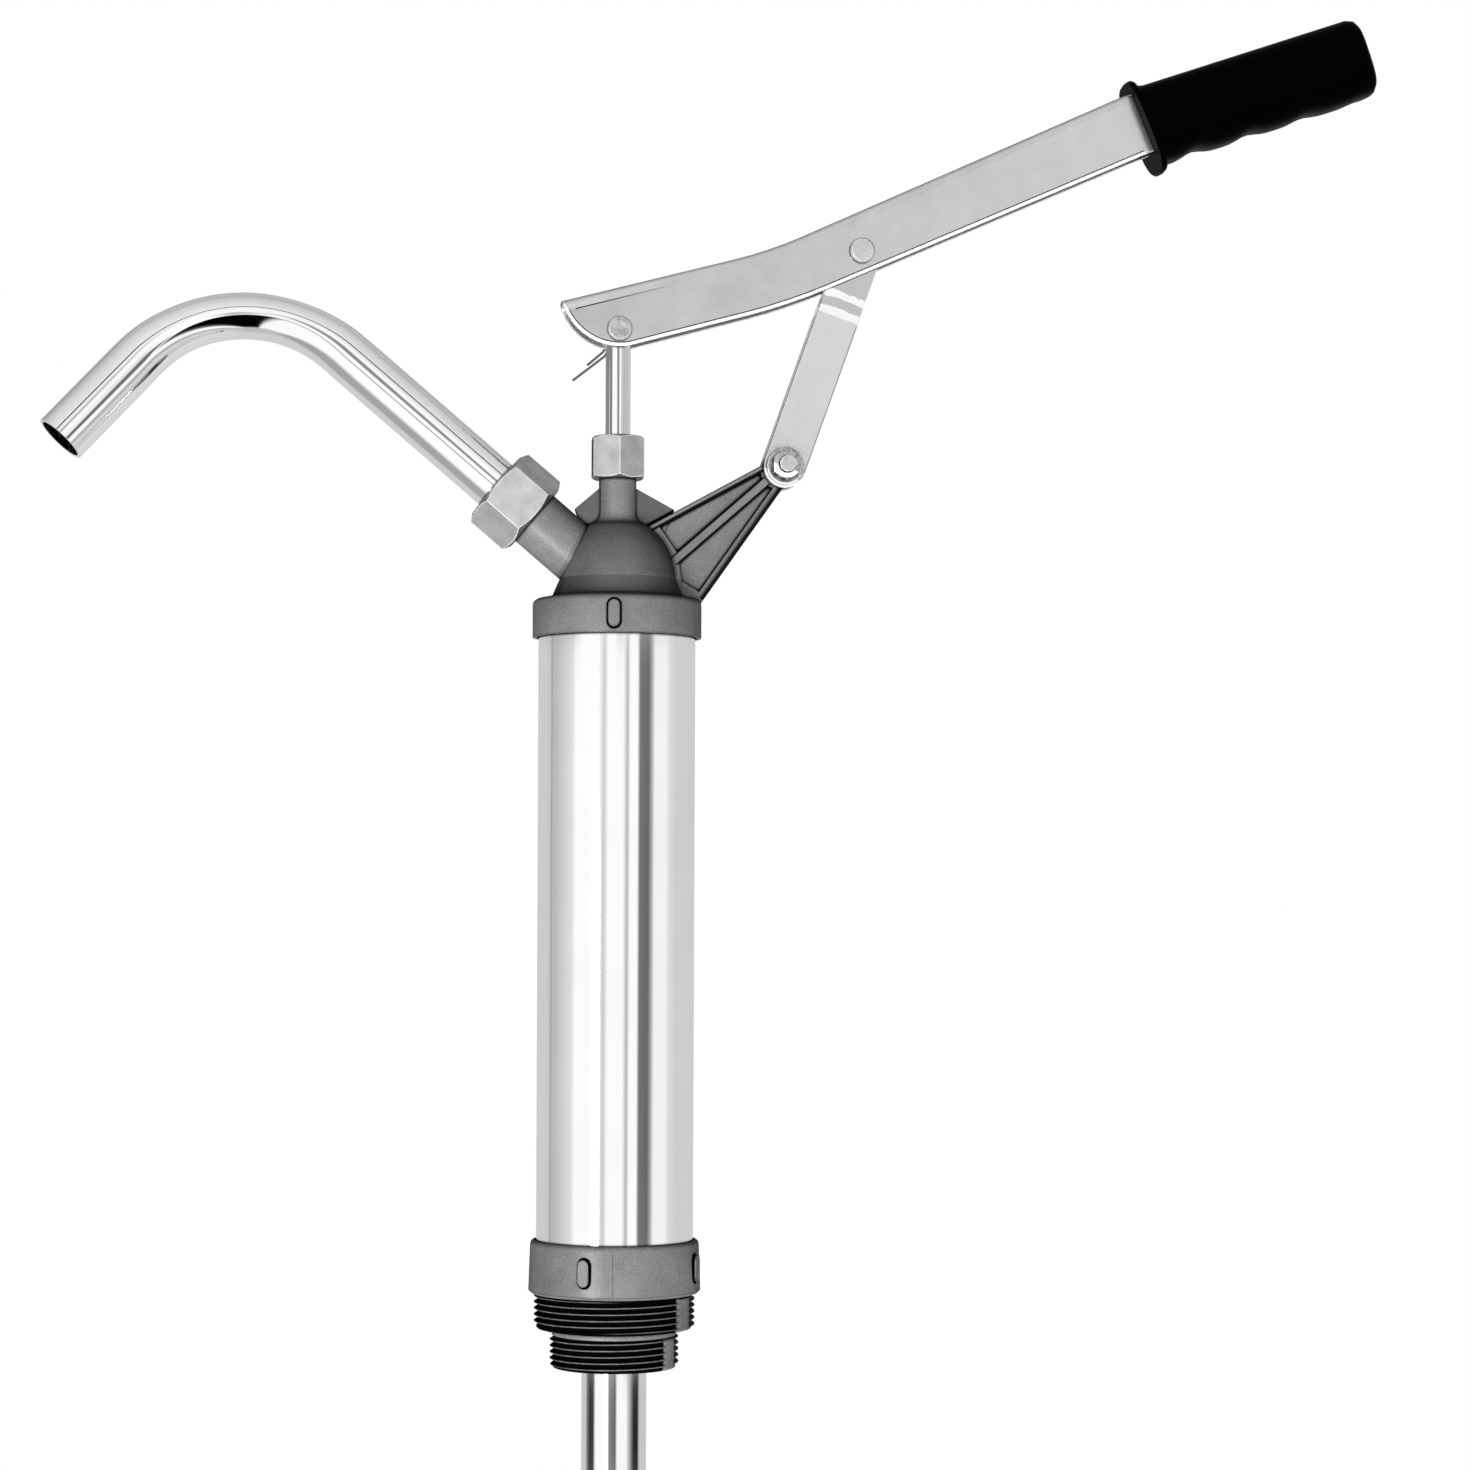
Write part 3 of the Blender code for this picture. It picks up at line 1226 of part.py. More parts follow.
def shade():
    """Applies each part's modifiers and shades its round faces smooth."""
    bpy.context.view_layer.update()
    graph = bpy.context.evaluated_depsgraph_get()
    made = {}
    for obj in PARTS.objects:
        if obj.type == "MESH":
            made[obj] = bpy.data.meshes.new_from_object(obj.evaluated_get(graph))
    for obj, mesh in made.items():
        obj.modifiers.clear()
        mesh.name = obj.name
        mesh.shade_smooth()
        mesh.set_sharp_from_angle(angle=math.radians(32))
        obj.data = mesh


for build in (
    build_base,
    build_foot_valve,
    build_barrel,
    build_suction_tubes,
    build_head,
    build_gland,
    build_spout,
    build_rod,
    build_piston,
    build_rod_pin,
    build_lever,
    build_lever_rivets,
    build_grip,
    build_link,
    build_bracket_bolt,
):
    build()
shade()
rig()
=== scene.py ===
"""Looks of the drum barrel pump: studio, camera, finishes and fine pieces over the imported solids."""

import json
import math

import bmesh
import bpy
from mathutils import Matrix, Vector

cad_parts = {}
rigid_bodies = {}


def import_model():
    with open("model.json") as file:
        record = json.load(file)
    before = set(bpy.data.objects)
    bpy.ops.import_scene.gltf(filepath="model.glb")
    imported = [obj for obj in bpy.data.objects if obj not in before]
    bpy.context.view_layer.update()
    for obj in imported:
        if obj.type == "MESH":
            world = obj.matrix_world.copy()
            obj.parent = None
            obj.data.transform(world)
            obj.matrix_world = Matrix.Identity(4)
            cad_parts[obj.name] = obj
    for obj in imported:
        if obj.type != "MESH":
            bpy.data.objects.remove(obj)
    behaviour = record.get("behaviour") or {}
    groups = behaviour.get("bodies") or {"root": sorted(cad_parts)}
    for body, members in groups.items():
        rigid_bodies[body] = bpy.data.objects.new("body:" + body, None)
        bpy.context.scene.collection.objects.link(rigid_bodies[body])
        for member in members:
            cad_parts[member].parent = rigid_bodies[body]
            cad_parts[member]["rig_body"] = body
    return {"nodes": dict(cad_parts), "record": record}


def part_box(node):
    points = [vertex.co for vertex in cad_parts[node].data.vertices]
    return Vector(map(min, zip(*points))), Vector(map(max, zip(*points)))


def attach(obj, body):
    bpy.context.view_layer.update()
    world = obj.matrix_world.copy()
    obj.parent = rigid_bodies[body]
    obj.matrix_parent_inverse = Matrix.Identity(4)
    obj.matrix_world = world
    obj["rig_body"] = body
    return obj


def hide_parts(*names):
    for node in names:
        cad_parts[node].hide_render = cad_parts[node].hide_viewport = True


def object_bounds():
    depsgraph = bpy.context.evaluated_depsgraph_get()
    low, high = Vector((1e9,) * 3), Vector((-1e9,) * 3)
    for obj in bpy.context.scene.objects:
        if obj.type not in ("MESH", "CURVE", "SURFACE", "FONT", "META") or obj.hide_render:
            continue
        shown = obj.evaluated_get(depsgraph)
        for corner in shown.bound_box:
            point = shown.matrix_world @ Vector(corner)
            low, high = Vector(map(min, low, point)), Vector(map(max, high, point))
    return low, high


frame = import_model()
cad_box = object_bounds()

MM = 0.001
SMOOTH_UNDER = math.radians(38)
WELD = 0.002 * MM

# Camera
VIEW_TURN = math.radians(6.5)  # its heading, from +Y towards +X
AHEAD = Vector((math.sin(VIEW_TURN), math.cos(VIEW_TURN), 0))
RIGHT = Vector((math.cos(VIEW_TURN), -math.sin(VIEW_TURN), 0))
CAMERA_DISTANCE = 1.273
CAMERA_SIDE = 0.04407
CAMERA_HEIGHT = 0.1451
CAMERA_ROLL = 0.0042
CAMERA_LENS = 84.245  # mm, on a sensor 36 mm wide
CAMERA_SHIFT = 0.11224

# Link
LINK_PIVOT = Vector((61.5 * MM, 0, 305.7 * MM))
LINK_LEAN = math.radians(19.47)
LINK_AXIS = Vector((math.sin(LINK_LEAN), 0, math.cos(LINK_LEAN)))
LINK_SIDE = Vector((math.cos(LINK_LEAN), 0, -math.sin(LINK_LEAN)))

SLOT_OF = {}  # material slot of each node, filled in main


# Node graph helpers


def node(tree, kind, inputs=None, **settings):
    made = tree.nodes.new("ShaderNode" + kind)
    for key, value in settings.items():
        setattr(made, key, value)
    for key, value in (inputs or {}).items():
        if isinstance(value, bpy.types.NodeSocket):
            tree.links.new(value, made.inputs[key])
        else:
            made.inputs[key].default_value = value
    return made


def maths(tree, operation, *values, clamp=False):
    return node(tree, "Math", dict(enumerate(values)), operation=operation, use_clamp=clamp).outputs[0]


def product(tree, first, *others):
    for other in others:
        first = maths(tree, "MULTIPLY", first, other)
    return first


def largest(tree, first, *others):
    for other in others:
        first = maths(tree, "MAXIMUM", first, other)
    return first


def remap(tree, value, start, end, low=0.0, high=1.0):
    """low where the value is start, high where it is end, even between and held outside."""
    inputs = {"Value": value, "From Min": start, "From Max": end, "To Min": low, "To Max": high}
    return node(tree, "MapRange", inputs).outputs["Result"]


def within(tree, value, low, high, soft=0.12 * MM):
    """1 between the two values, 0 outside."""
    rise = remap(tree, value, low - soft, low + soft)
    fall = remap(tree, value, high + soft, high - soft)
    return product(tree, rise, fall)


def vector_maths(tree, operation, *values):
    return node(tree, "VectorMath", dict(enumerate(values)), operation=operation).outputs


def dot(tree, first, second):
    return vector_maths(tree, "DOT_PRODUCT", first, second)["Value"]


def minus(tree, first, second):
    return vector_maths(tree, "SUBTRACT", first, second)["Vector"]


def length(tree, vector):
    return vector_maths(tree, "LENGTH", vector)["Value"]


def split(tree, vector):
    return node(tree, "SeparateXYZ", {"Vector": vector}).outputs


def mix(tree, share, first, second, blend_type="MIX"):
    inputs = {"Factor": share, 6: first, 7: second}
    return node(tree, "Mix", inputs, data_type="RGBA", blend_type=blend_type).outputs[2]


def multiply(tree, first, second, share=1.0):
    return mix(tree, share, first, second, "MULTIPLY")


def grey(shade):
    """An opaque colour from one level or from three."""
    if isinstance(shade, (int, float)):
        shade = (shade, shade, shade)
    return (*shade, 1)


def ramp(tree, place, stops):
    made = node(tree, "ValToRGB", {"Fac": place})
    elements = made.color_ramp.elements
    elements.remove(elements[0])
    elements[0].position = stops[0][0]
    elements[0].color = grey(stops[0][1])
    for position, shade in stops[1:]:
        elements.new(position).color = grey(shade)
    return made.outputs["Color"]


def noise(tree, vector, scale, detail, roughness):
    inputs = {"Vector": vector, "Scale": scale, "Detail": detail, "Roughness": roughness}
    return node(tree, "TexNoise", inputs).outputs["Fac"]


def linear(code):
    """Linear value of an 8-bit screen level."""
    level = code / 255
    return level / 12.92 if level <= 0.04045 else ((level + 0.055) / 1.055) ** 2.4


# Studio

WORLD_LOW = 0.05  # soft light from under the horizon
WORLD_HIGH = 0.04  # and from overhead
FLOOR_REACH = 4.0
FLOOR_DROP = 0.5 * MM  # under the object's lowest point
FLOOR_FADE = (1.2, 2.6)  # distance over which it turns plain white

# Reflected strips as (angle from the camera's back, towards its right; screen level)
LEVEL_STRIPS = [
    (-180, 205), (-125, 205), (-112, 200), (-108, 160), (-104, 190), (-100, 185), (-66, 225),
    (-60, 254), (-24, 254), (-16, 200), (-10, 254), (12, 254), (18, 175), (22, 255), (33, 255),
    (36, 118), (50, 104), (55, 170), (60, 245), (80, 245), (86, 222), (100, 208), (180, 205),
]
LOW_STRIPS = [
    (-180, 200), (-118, 200), (-106, 110), (-92, 45), (-76, 60), (-66, 254), (-21, 254), (-14, 130),
    (7, 95), (14, 254), (47, 254), (52, 215), (68, 115), (76, 33), (95, 33), (106, 200), (180, 200),
]
UNDER_STRIPS = [
    (-180, 210), (-115, 205), (-100, 165), (-60, 165), (-50, 205), (-42, 254), (7, 254), (11, 20),
    (14, 3), (36, 3), (42, 90), (48, 254), (56, 250), (62, 163), (76, 219), (90, 191), (107, 219),
    (180, 210),
]
UPPER_STRIPS = [
    (-180, 140), (-58, 130), (-50, 254), (0, 254), (3, 140), (11, 140), (15, 254), (26, 250),
    (34, 200), (60, 185), (128, 205), (180, 150),
]
# Reflected ceiling as (how far towards the camera's back, from -1 to 1; screen level)
OVERHEAD = [
    (-1, 222), (-0.62, 189), (-0.28, 181), (0, 205), (0.28, 213), (0.68, 229), (0.92, 245), (1, 250),
]
CEILING_SEAM = (0.56, 0.608)  # rise of the thin dark line between ceiling panels
SEAM_LEVEL = 25
UNDERFOOT_LEVEL = 190
# Where each band gives way to the next, by rise
CEILING_FROM = (0.36, 0.48)
LEVEL_FROM = (0.085, 0.075)
LOW_FROM = (-0.128, -0.136)
UNDER_FROM = (-0.165, -0.19)
UNDERFOOT_FROM = (-0.95, -0.99)

SOFTBOX_TURN = math.radians(-27)  # from the camera's back towards its right
SOFTBOX = (-AHEAD * math.cos(SOFTBOX_TURN) + RIGHT * math.sin(SOFTBOX_TURN)) * 1.5 + Vector((0, 0, -0.2))
LAMP_TARGET = Vector((0, 0, 0.2))
# name, place, target, size, watts, whether reflections show it
LAMPS = [
    ("key", Vector((-0.25, -1.65, -0.55)), LAMP_TARGET, (0.6, 0.7), 23, False),
    ("softbox", SOFTBOX, Vector((0, 0, 0.1)), (0.3, 0.8), 6, True),
    ("fill", Vector((1.1, -1.25, -0.1)), LAMP_TARGET, (0.6, 0.6), 1.5, False),
    ("back", Vector((0.2, 1.8, 0.3)), LAMP_TARGET, (0.8, 0.8), 16, False),
]


def strips(tree, place, table):
    return ramp(tree, place, [((angle + 180) / 360, linear(level)) for angle, level in table])


def blend(tree, value, start, end, first, second):
    """first until the value reaches start, second from end on."""
    return mix(tree, remap(tree, value, start, end), first, second)


def reflected_studio(tree, ray, rise):
    """What polished metal shows: strips round the object, in bands by height, under a ceiling."""
    back = dot(tree, ray, -AHEAD)
    turn = maths(tree, "ARCTAN2", dot(tree, ray, RIGHT), back)
    place = maths(tree, "MULTIPLY_ADD", turn, 1 / (2 * math.pi), 0.5)
    front = maths(tree, "MULTIPLY_ADD", back, 0.5, 0.5)
    ceiling = ramp(tree, front, [((nearness + 1) / 2, linear(level)) for nearness, level in OVERHEAD])
    shown = blend(tree, rise, *CEILING_FROM, strips(tree, place, UPPER_STRIPS), ceiling)
    seam = product(tree, within(tree, rise, *CEILING_SEAM, 0.006), 0.95)
    shown = mix(tree, seam, shown, grey(linear(SEAM_LEVEL)))
    shown = blend(tree, rise, *LEVEL_FROM, shown, strips(tree, place, LEVEL_STRIPS))
    shown = blend(tree, rise, *LOW_FROM, shown, strips(tree, place, LOW_STRIPS))
    shown = blend(tree, rise, *UNDER_FROM, shown, strips(tree, place, UNDER_STRIPS))
    return blend(tree, rise, *UNDERFOOT_FROM, shown, grey(linear(UNDERFOOT_LEVEL)))


def build_world():
    """White for the camera, soft even light for diffuse rays, and the studio for reflections."""
    world = bpy.data.worlds.new("studio")
    bpy.context.scene.world = world
    world.use_nodes = True
    tree = world.node_tree
    tree.nodes.clear()
    ray = node(tree, "TexCoord").outputs["Generated"]
    rise = split(tree, ray)["Z"]
    soft = remap(tree, rise, -0.3, 0.7, WORLD_LOW, WORLD_HIGH)
    path = node(tree, "LightPath").outputs
    studio = reflected_studio(tree, ray, rise)
    glossy = node(tree, "Background", {"Color": studio, "Strength": 1.0}).outputs[0]
    diffuse = node(tree, "Background", {"Color": grey(1.0), "Strength": soft}).outputs[0]
    white = node(tree, "Background", {"Color": grey(1.0), "Strength": 1.0}).outputs[0]
    lit = node(tree, "MixShader", {0: path["Is Glossy Ray"], 1: diffuse, 2: glossy}).outputs[0]
    seen = node(tree, "MixShader", {0: path["Is Camera Ray"], 1: lit, 2: white}).outputs[0]
    node(tree, "OutputWorld", {"Surface": seen})


def build_floor():
    """A pale floor that fades into the white background."""
    mesh = bpy.data.meshes.new("floor")
    z = cad_box[0][2] - FLOOR_DROP
    corners = [(x * FLOOR_REACH, y * FLOOR_REACH, z) for x, y in ((-1, -1), (1, -1), (1, 1), (-1, 1))]
    mesh.from_pydata(corners, [], [(0, 1, 2, 3)])
    floor = bpy.data.objects.new("floor", mesh)
    bpy.context.scene.collection.objects.link(floor)
    material = bpy.data.materials.new("floor")
    material.use_nodes = True
    tree = material.node_tree
    tree.nodes.clear()
    paint = node(tree, "BsdfPrincipled", {"Base Color": grey(0.86), "Roughness": 0.9}).outputs[0]
    white = node(tree, "Emission", {"Color": grey(1.0), "Strength": 1.0}).outputs[0]
    reach = length(tree, node(tree, "NewGeometry").outputs["Position"])
    far = remap(tree, reach, *FLOOR_FADE, 0.7, 1.0)
    faded = node(tree, "MixShader", {0: far, 1: paint, 2: white}).outputs[0]
    node(tree, "OutputMaterial", {"Surface": faded})
    mesh.materials.append(material)
    floor.visible_glossy = False


def build_lamp(name, place, target, size, power, mirrored):
    lamp = bpy.data.lights.new(name, "AREA")
    lamp.shape = "RECTANGLE"
    lamp.size, lamp.size_y = size
    lamp.energy = power
    holder = bpy.data.objects.new(name, lamp)
    holder.location = place
    holder.rotation_euler = (target - place).to_track_quat("-Z", "Y").to_euler()
    holder.visible_glossy = mirrored
    holder.visible_camera = False
    bpy.context.scene.collection.objects.link(holder)


def build_camera():
    lens = bpy.data.cameras.new("camera")
    lens.sensor_width = 36.0
    lens.lens = CAMERA_LENS
    lens.shift_y = CAMERA_SHIFT
    lens.clip_end = 50
    camera = bpy.data.objects.new("camera", lens)
    place = -AHEAD * CAMERA_DISTANCE + RIGHT * CAMERA_SIDE + Vector((0, 0, CAMERA_HEIGHT))
    turn = Matrix.Rotation(-VIEW_TURN, 4, "Z") @ Matrix.Rotation(math.pi / 2, 4, "X")
    camera.matrix_world = Matrix.Translation(place) @ turn @ Matrix.Rotation(CAMERA_ROLL, 4, "Z")
    bpy.context.scene.collection.objects.link(camera)
    bpy.context.scene.camera = camera


# Painted shade and marks on the castings; heights are from the head of the bung

HEAD_LUGS = (32.0 * MM, 248.6 * MM, math.radians(-6.5), 2)  # radius, height, turn of one, count
HEAD_SKIN = (30.0 * MM, 31.8 * MM)  # radii on both sides of the collar's outer face
BASE_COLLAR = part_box("base_casting")[1].z
BASE_LUGS = (33.0 * MM, BASE_COLLAR / 2, math.radians(-25.0), 4)
BASE_SKIN = (30.0 * MM, 32.35 * MM)
LUG_HALF = 2.85 * MM  # of its straight length
LUG_LINE = (1.75 * MM, 2.95 * MM)  # from its middle line
SEAM_X = (-3.3 * MM, -2.9 * MM)
SEAM_Y = (-40 * MM, -28 * MM)
SEAM_Z = (1 * MM, 17 * MM)

# Places of painted shade on the head: the cone at the dome's foot, the dome itself and the gussets
CONE_FOOT = 256.4 * MM
CONE_RADIUS = 24.6 * MM
DOME_FOOT = 263.5 * MM
DOME_TOP = 281 * MM
DOME_SCALE = Vector((1 / 21.3, 1 / 21.3, 1 / 23.2)) / MM
DOME_SKIN = (0.93, 1.06)  # as shares of the dome's size
GUSSET_X = (-22 * MM, 22 * MM)
GUSSET_Y = (-2.6 * MM, 2.6 * MM)
GUSSET_Z = (275 * MM, 300 * MM)

# The arm's edges, each with the arm on its right
ARM_TOP = (Vector((11.3 * MM, 0, 283.1 * MM)), Vector((53.53 * MM, 0, 306.4 * MM)))
ARM_RIB = (Vector((20.4 * MM, 0, 270.0 * MM)), Vector((55.28 * MM, 0, 300.67 * MM)))
ARM_LOWER = (Vector((60.94 * MM, 0, 297.72 * MM)), Vector((31.4 * MM, 0, 255.7 * MM)))
# Painted shade lines, as distances inwards from those edges
TOP_LINES = ((-1.2 * MM, 0.35 * MM), (1.35 * MM, 2.4 * MM))
LOWER_LINE = (-2 * MM, 1.9 * MM)
RIB_LINE = (1.25 * MM, 1.9 * MM)
ABOVE_TOP = (-100 * MM, -0.3 * MM)
ARM_SHADE_LINE_STRENGTH = 0.97


def lug_line(tree, spot, radius, level, first, count):
    """The painted shade line round each oblong lug of a collar."""
    place = split(tree, spot)
    turn = maths(tree, "ARCTAN2", place["X"], maths(tree, "MULTIPLY", place["Y"], -1.0))
    half = math.pi / count
    off = maths(tree, "WRAP", maths(tree, "SUBTRACT", turn, first), half, -half)
    height = maths(tree, "ABSOLUTE", maths(tree, "SUBTRACT", place["Z"], level))
    beyond = maths(tree, "MAXIMUM", maths(tree, "SUBTRACT", height, LUG_HALF), 0.0)
    along = maths(tree, "MULTIPLY", off, radius)
    away = length(tree, node(tree, "CombineXYZ", {"X": along, "Y": beyond}).outputs[0])
    return within(tree, away, *LUG_LINE)


def radius_of(tree, spot):
    """Distance from the barrel's axis."""
    return length(tree, vector_maths(tree, "MULTIPLY", spot, Vector((1, 1, 0)))["Vector"])


def from_edge(tree, spot, first, second):
    """(distance to the right of the line from first to second, 1 beside the line itself)."""
    run = (second - first).normalized()
    from_first = minus(tree, spot, first)
    depth = dot(tree, from_first, Vector((run.z, 0, -run.x)))
    return depth, within(tree, dot(tree, from_first, run), 0.0, (second - first).length)


def arm_lines(tree, spot):
    """(1 above the arm's top edge, the painted shade lines along its rims and middle rib)."""
    top, on_top = from_edge(tree, spot, *ARM_TOP)
    low, on_low = from_edge(tree, spot, *ARM_LOWER)
    rib, on_rib = from_edge(tree, spot, *ARM_RIB)
    rim = largest(tree, *[within(tree, top, *line) for line in TOP_LINES])
    edge = within(tree, low, *LOWER_LINE, 0.7 * MM)
    sides = within(tree, maths(tree, "ABSOLUTE", rib), *RIB_LINE)
    upper = product(tree, rim, on_top)
    arm_shade_lines = largest(tree, upper, product(tree, edge, on_low), product(tree, sides, on_rib))
    return within(tree, top, *ABOVE_TOP), arm_shade_lines


def dome_shade(tree, spot):
    """Painted shade over the dome, deeper towards the arm."""
    place = split(tree, spot)
    from_centre = minus(tree, spot, Vector((0, 0, DOME_FOOT)))
    size = length(tree, vector_maths(tree, "MULTIPLY", from_centre, DOME_SCALE)["Vector"])
    high = within(tree, place["Z"], DOME_FOOT, DOME_TOP, 2 * MM)
    deeper = remap(tree, place["X"], 2 * MM, 17 * MM, 0.6, 1.0)
    return product(tree, within(tree, size, *DOME_SKIN), high, deeper)


def head_marks(tree, spot):
    """(painted shade, painted shade lines): dome, cone and gussets; the arm's edges and the lines round
    the lugs.
    """
    place = split(tree, spot)
    radius = radius_of(tree, spot)
    above_arm, arm_shade_lines = arm_lines(tree, spot)
    near_axis = within(tree, radius, 0.0, CONE_RADIUS)
    cone = product(tree, within(tree, place["Z"], CONE_FOOT, DOME_FOOT), near_axis)
    plate = product(tree, within(tree, place["Y"], *GUSSET_Y), within(tree, place["Z"], *GUSSET_Z))
    gussets = product(tree, plate, above_arm, within(tree, place["X"], *GUSSET_X))
    lugs = product(tree, lug_line(tree, spot, *HEAD_LUGS), within(tree, radius, *HEAD_SKIN))
    painted_shade_and_seam = largest(tree, cone, gussets, dome_shade(tree, spot))
    return painted_shade_and_seam, largest(tree, lugs, product(tree, arm_shade_lines, ARM_SHADE_LINE_STRENGTH))


def base_marks(tree, spot):
    """(seam, painted shade lines): the parting seam down the front of the collar; the painted shade lines
    round the lugs.
    """
    place = split(tree, spot)
    line = product(tree, within(tree, place["X"], *SEAM_X), within(tree, place["Y"], *SEAM_Y))
    seam = product(tree, within(tree, place["Z"], *SEAM_Z), line)
    outside = within(tree, radius_of(tree, spot), *BASE_SKIN)
    return seam, product(tree, lug_line(tree, spot, *BASE_LUGS), outside)


# Painted highlights, painted shade and stains on the plated pieces

RIM_HIGHLIGHT_OUT = 9.6 * MM  # outer radius of the painted highlight crescent round the bolt
RIM_HIGHLIGHT_LOW = (-9.9 * MM, -3.2 * MM)
LINK_RIM_HIGHLIGHT_IN = 6.1 * MM  # its inner radius on the strap, and on the washer
BOLT_RIM_HIGHLIGHT_IN = 6.4 * MM
LINK_EDGE = 7.8 * MM  # half the strap's width
LINK_EDGE_RUN = 58 * MM
LINK_WAVER = 2.6 * MM
HALO = (9 * MM, 5.5 * MM)  # from the bolt, clear to full
# The joggle's bends take painted highlights; JOGGLE_ON spans painted shade over the joggle and in the
# lever's shadow above it
JOGGLE_BENDS = ((58.9 * MM, 62.1 * MM), (65.9 * MM, 68.8 * MM))
JOGGLE_ON = (61 * MM, 90 * MM)
# Painted highlights on the nut's lower faces, painted shade along its foot
NUT_FACES = (3.3 * MM, 5.0 * MM)
NUT_FOOT = (5.1 * MM, 6.2 * MM)
NUT_LOW = (-8 * MM, -1.4 * MM)
DULL_RING = (3.2 * MM, 8 * MM)
DULL_HIGH = (-1 * MM, 9 * MM)
LEVER_TIP = Vector((-21.3 * MM, 0, 365.4 * MM))
LEVER_SLOPE = math.radians(14.9)
LEVER_ALONG = Vector((math.cos(LEVER_SLOPE), 0, math.sin(LEVER_SLOPE)))
LEVER_ACROSS = Vector((-math.sin(LEVER_SLOPE), 0, math.cos(LEVER_SLOPE)))
# A painted shade line along the crease on the lever's cheek, with a painted highlight above it
CREASE_START = 4 * MM
CREASE_STOP = 38 * MM
CREASE_WIDTH = (-0.25 * MM, 0.2 * MM)
CREASE_ABOVE = (0.2 * MM, 6 * MM)
CREASE_FADING = (12 * MM, 40 * MM, 1.0, 0.25)  # along the lever, then its strength
CREASE_LEVEL = (4 * MM, 40 * MM, -4.3 * MM, -4.2 * MM)  # along the lever, then across it


def from_link_pivot(tree, spot):
    """(distance from the bracket bolt, distance up the link, distance across it to the grip)."""
    place = minus(tree, spot, LINK_PIVOT)
    flat = vector_maths(tree, "MULTIPLY", spot, Vector((1, 0, 1)))["Vector"]
    from_bolt = vector_maths(tree, "DISTANCE", flat, LINK_PIVOT)["Value"]
    return from_bolt, dot(tree, place, LINK_AXIS), dot(tree, place, LINK_SIDE)


def lower_rim_highlight(tree, from_bolt, along, start):
    """The painted highlight crescent round the bolt, under it."""
    ring = within(tree, from_bolt, start, RIM_HIGHLIGHT_OUT)
    return product(tree, ring, within(tree, along, *RIM_HIGHLIGHT_LOW))


def dull_patches(tree, spot):
    return ramp(tree, noise(tree, spot, 420, 4, 0.65), [(0.4, 0.0), (0.62, 1.0)])


def link_marks(tree, spot):
    """(painted highlights, stains and painted shade): painted highlights on the joggle's bends and the
    lower rim; the stained halo, painted shade over the joggle and above it, and a painted shade line along
    the far edge.
    """
    from_bolt, along, across = from_link_pivot(tree, spot)
    shake = maths(tree, "SUBTRACT", noise(tree, spot, 240, 3, 0.6), 0.5)
    waver = maths(tree, "MULTIPLY_ADD", shake, LINK_WAVER, along)
    # Painted highlights on the joggle's bends and on the rim under the bolt
    bends = [within(tree, waver, *bend) for bend in JOGGLE_BENDS]
    painted_highlights = largest(tree, *bends, lower_rim_highlight(tree, from_bolt, along, LINK_RIM_HIGHLIGHT_IN))
    halo = product(tree, remap(tree, from_bolt, *HALO), dull_patches(tree, spot))
    # Painted shade over the joggle and the lever's shadow above it, and a painted shade line along the far
    # edge
    slope = product(tree, within(tree, along, *JOGGLE_ON), 0.3)
    edge = within(tree, across, LINK_EDGE - 0.4 * MM, LINK_EDGE + 1 * MM)
    edge = product(tree, edge, within(tree, along, 0.0, LINK_EDGE_RUN))
    return painted_highlights, largest(tree, halo, slope, edge)


def bolt_marks(tree, spot):
    """(painted highlights, stains and painted shade): painted highlights on the nut's lower faces and the
    lower rim; painted shade at its foot, and dull patches over it.
    """
    from_bolt, along, _ = from_link_pivot(tree, spot)
    below = within(tree, along, *NUT_LOW)
    # Painted highlight on the nut's lower faces; painted shade at its foot
    faces = product(tree, within(tree, from_bolt, *NUT_FACES), below)
    foot = product(tree, within(tree, from_bolt, *NUT_FOOT), below, 0.7)
    above = product(tree, within(tree, from_bolt, *DULL_RING), within(tree, along, *DULL_HIGH))
    dull = product(tree, above, dull_patches(tree, spot))
    painted_highlights = largest(tree, faces, lower_rim_highlight(tree, from_bolt, along, BOLT_RIM_HIGHLIGHT_IN))
    return painted_highlights, largest(tree, dull, foot)


def lever_marks(tree, spot):
    """(painted highlight, painted shade): a painted highlight above the crease and a painted shade line
    along it, from the nose to the lever's top corner.
    """
    from_tip = minus(tree, spot, LEVER_TIP)
    along = dot(tree, from_tip, LEVER_ALONG)
    crease_level = remap(tree, along, *CREASE_LEVEL)
    level = maths(tree, "SUBTRACT", dot(tree, from_tip, LEVER_ACROSS), crease_level)
    fading = remap(tree, along, *CREASE_FADING)
    crease = within(tree, level, *CREASE_WIDTH)
    crease = product(tree, crease, within(tree, along, CREASE_START, CREASE_STOP), fading)
    above = within(tree, level, *CREASE_ABOVE)
    above = product(tree, above, within(tree, along, 0.0, CREASE_STOP), fading, 0.25)
    return above, crease


# Finishes


def new_finish(name):
    material = bpy.data.materials.new(name)
    material.use_nodes = True
    tree = material.node_tree
    tree.nodes.clear()
    return material, tree, node(tree, "TexCoord").outputs["Object"]


def surface(tree, **inputs):
    shader = node(tree, "BsdfPrincipled", {key.replace("_", " "): value for key, value in inputs.items()})
    node(tree, "OutputMaterial", {"Surface": shader.outputs[0]})


def rounded(tree, radius):
    """The normal, turned smoothly round every edge."""
    return node(tree, "Bevel", {"Radius": radius}, samples=6).outputs["Normal"]


def bumped(tree, height, strength, depth, **more):
    inputs = {"Height": height, "Strength": strength, "Distance": depth, **more}
    return node(tree, "Bump", inputs).outputs["Normal"]


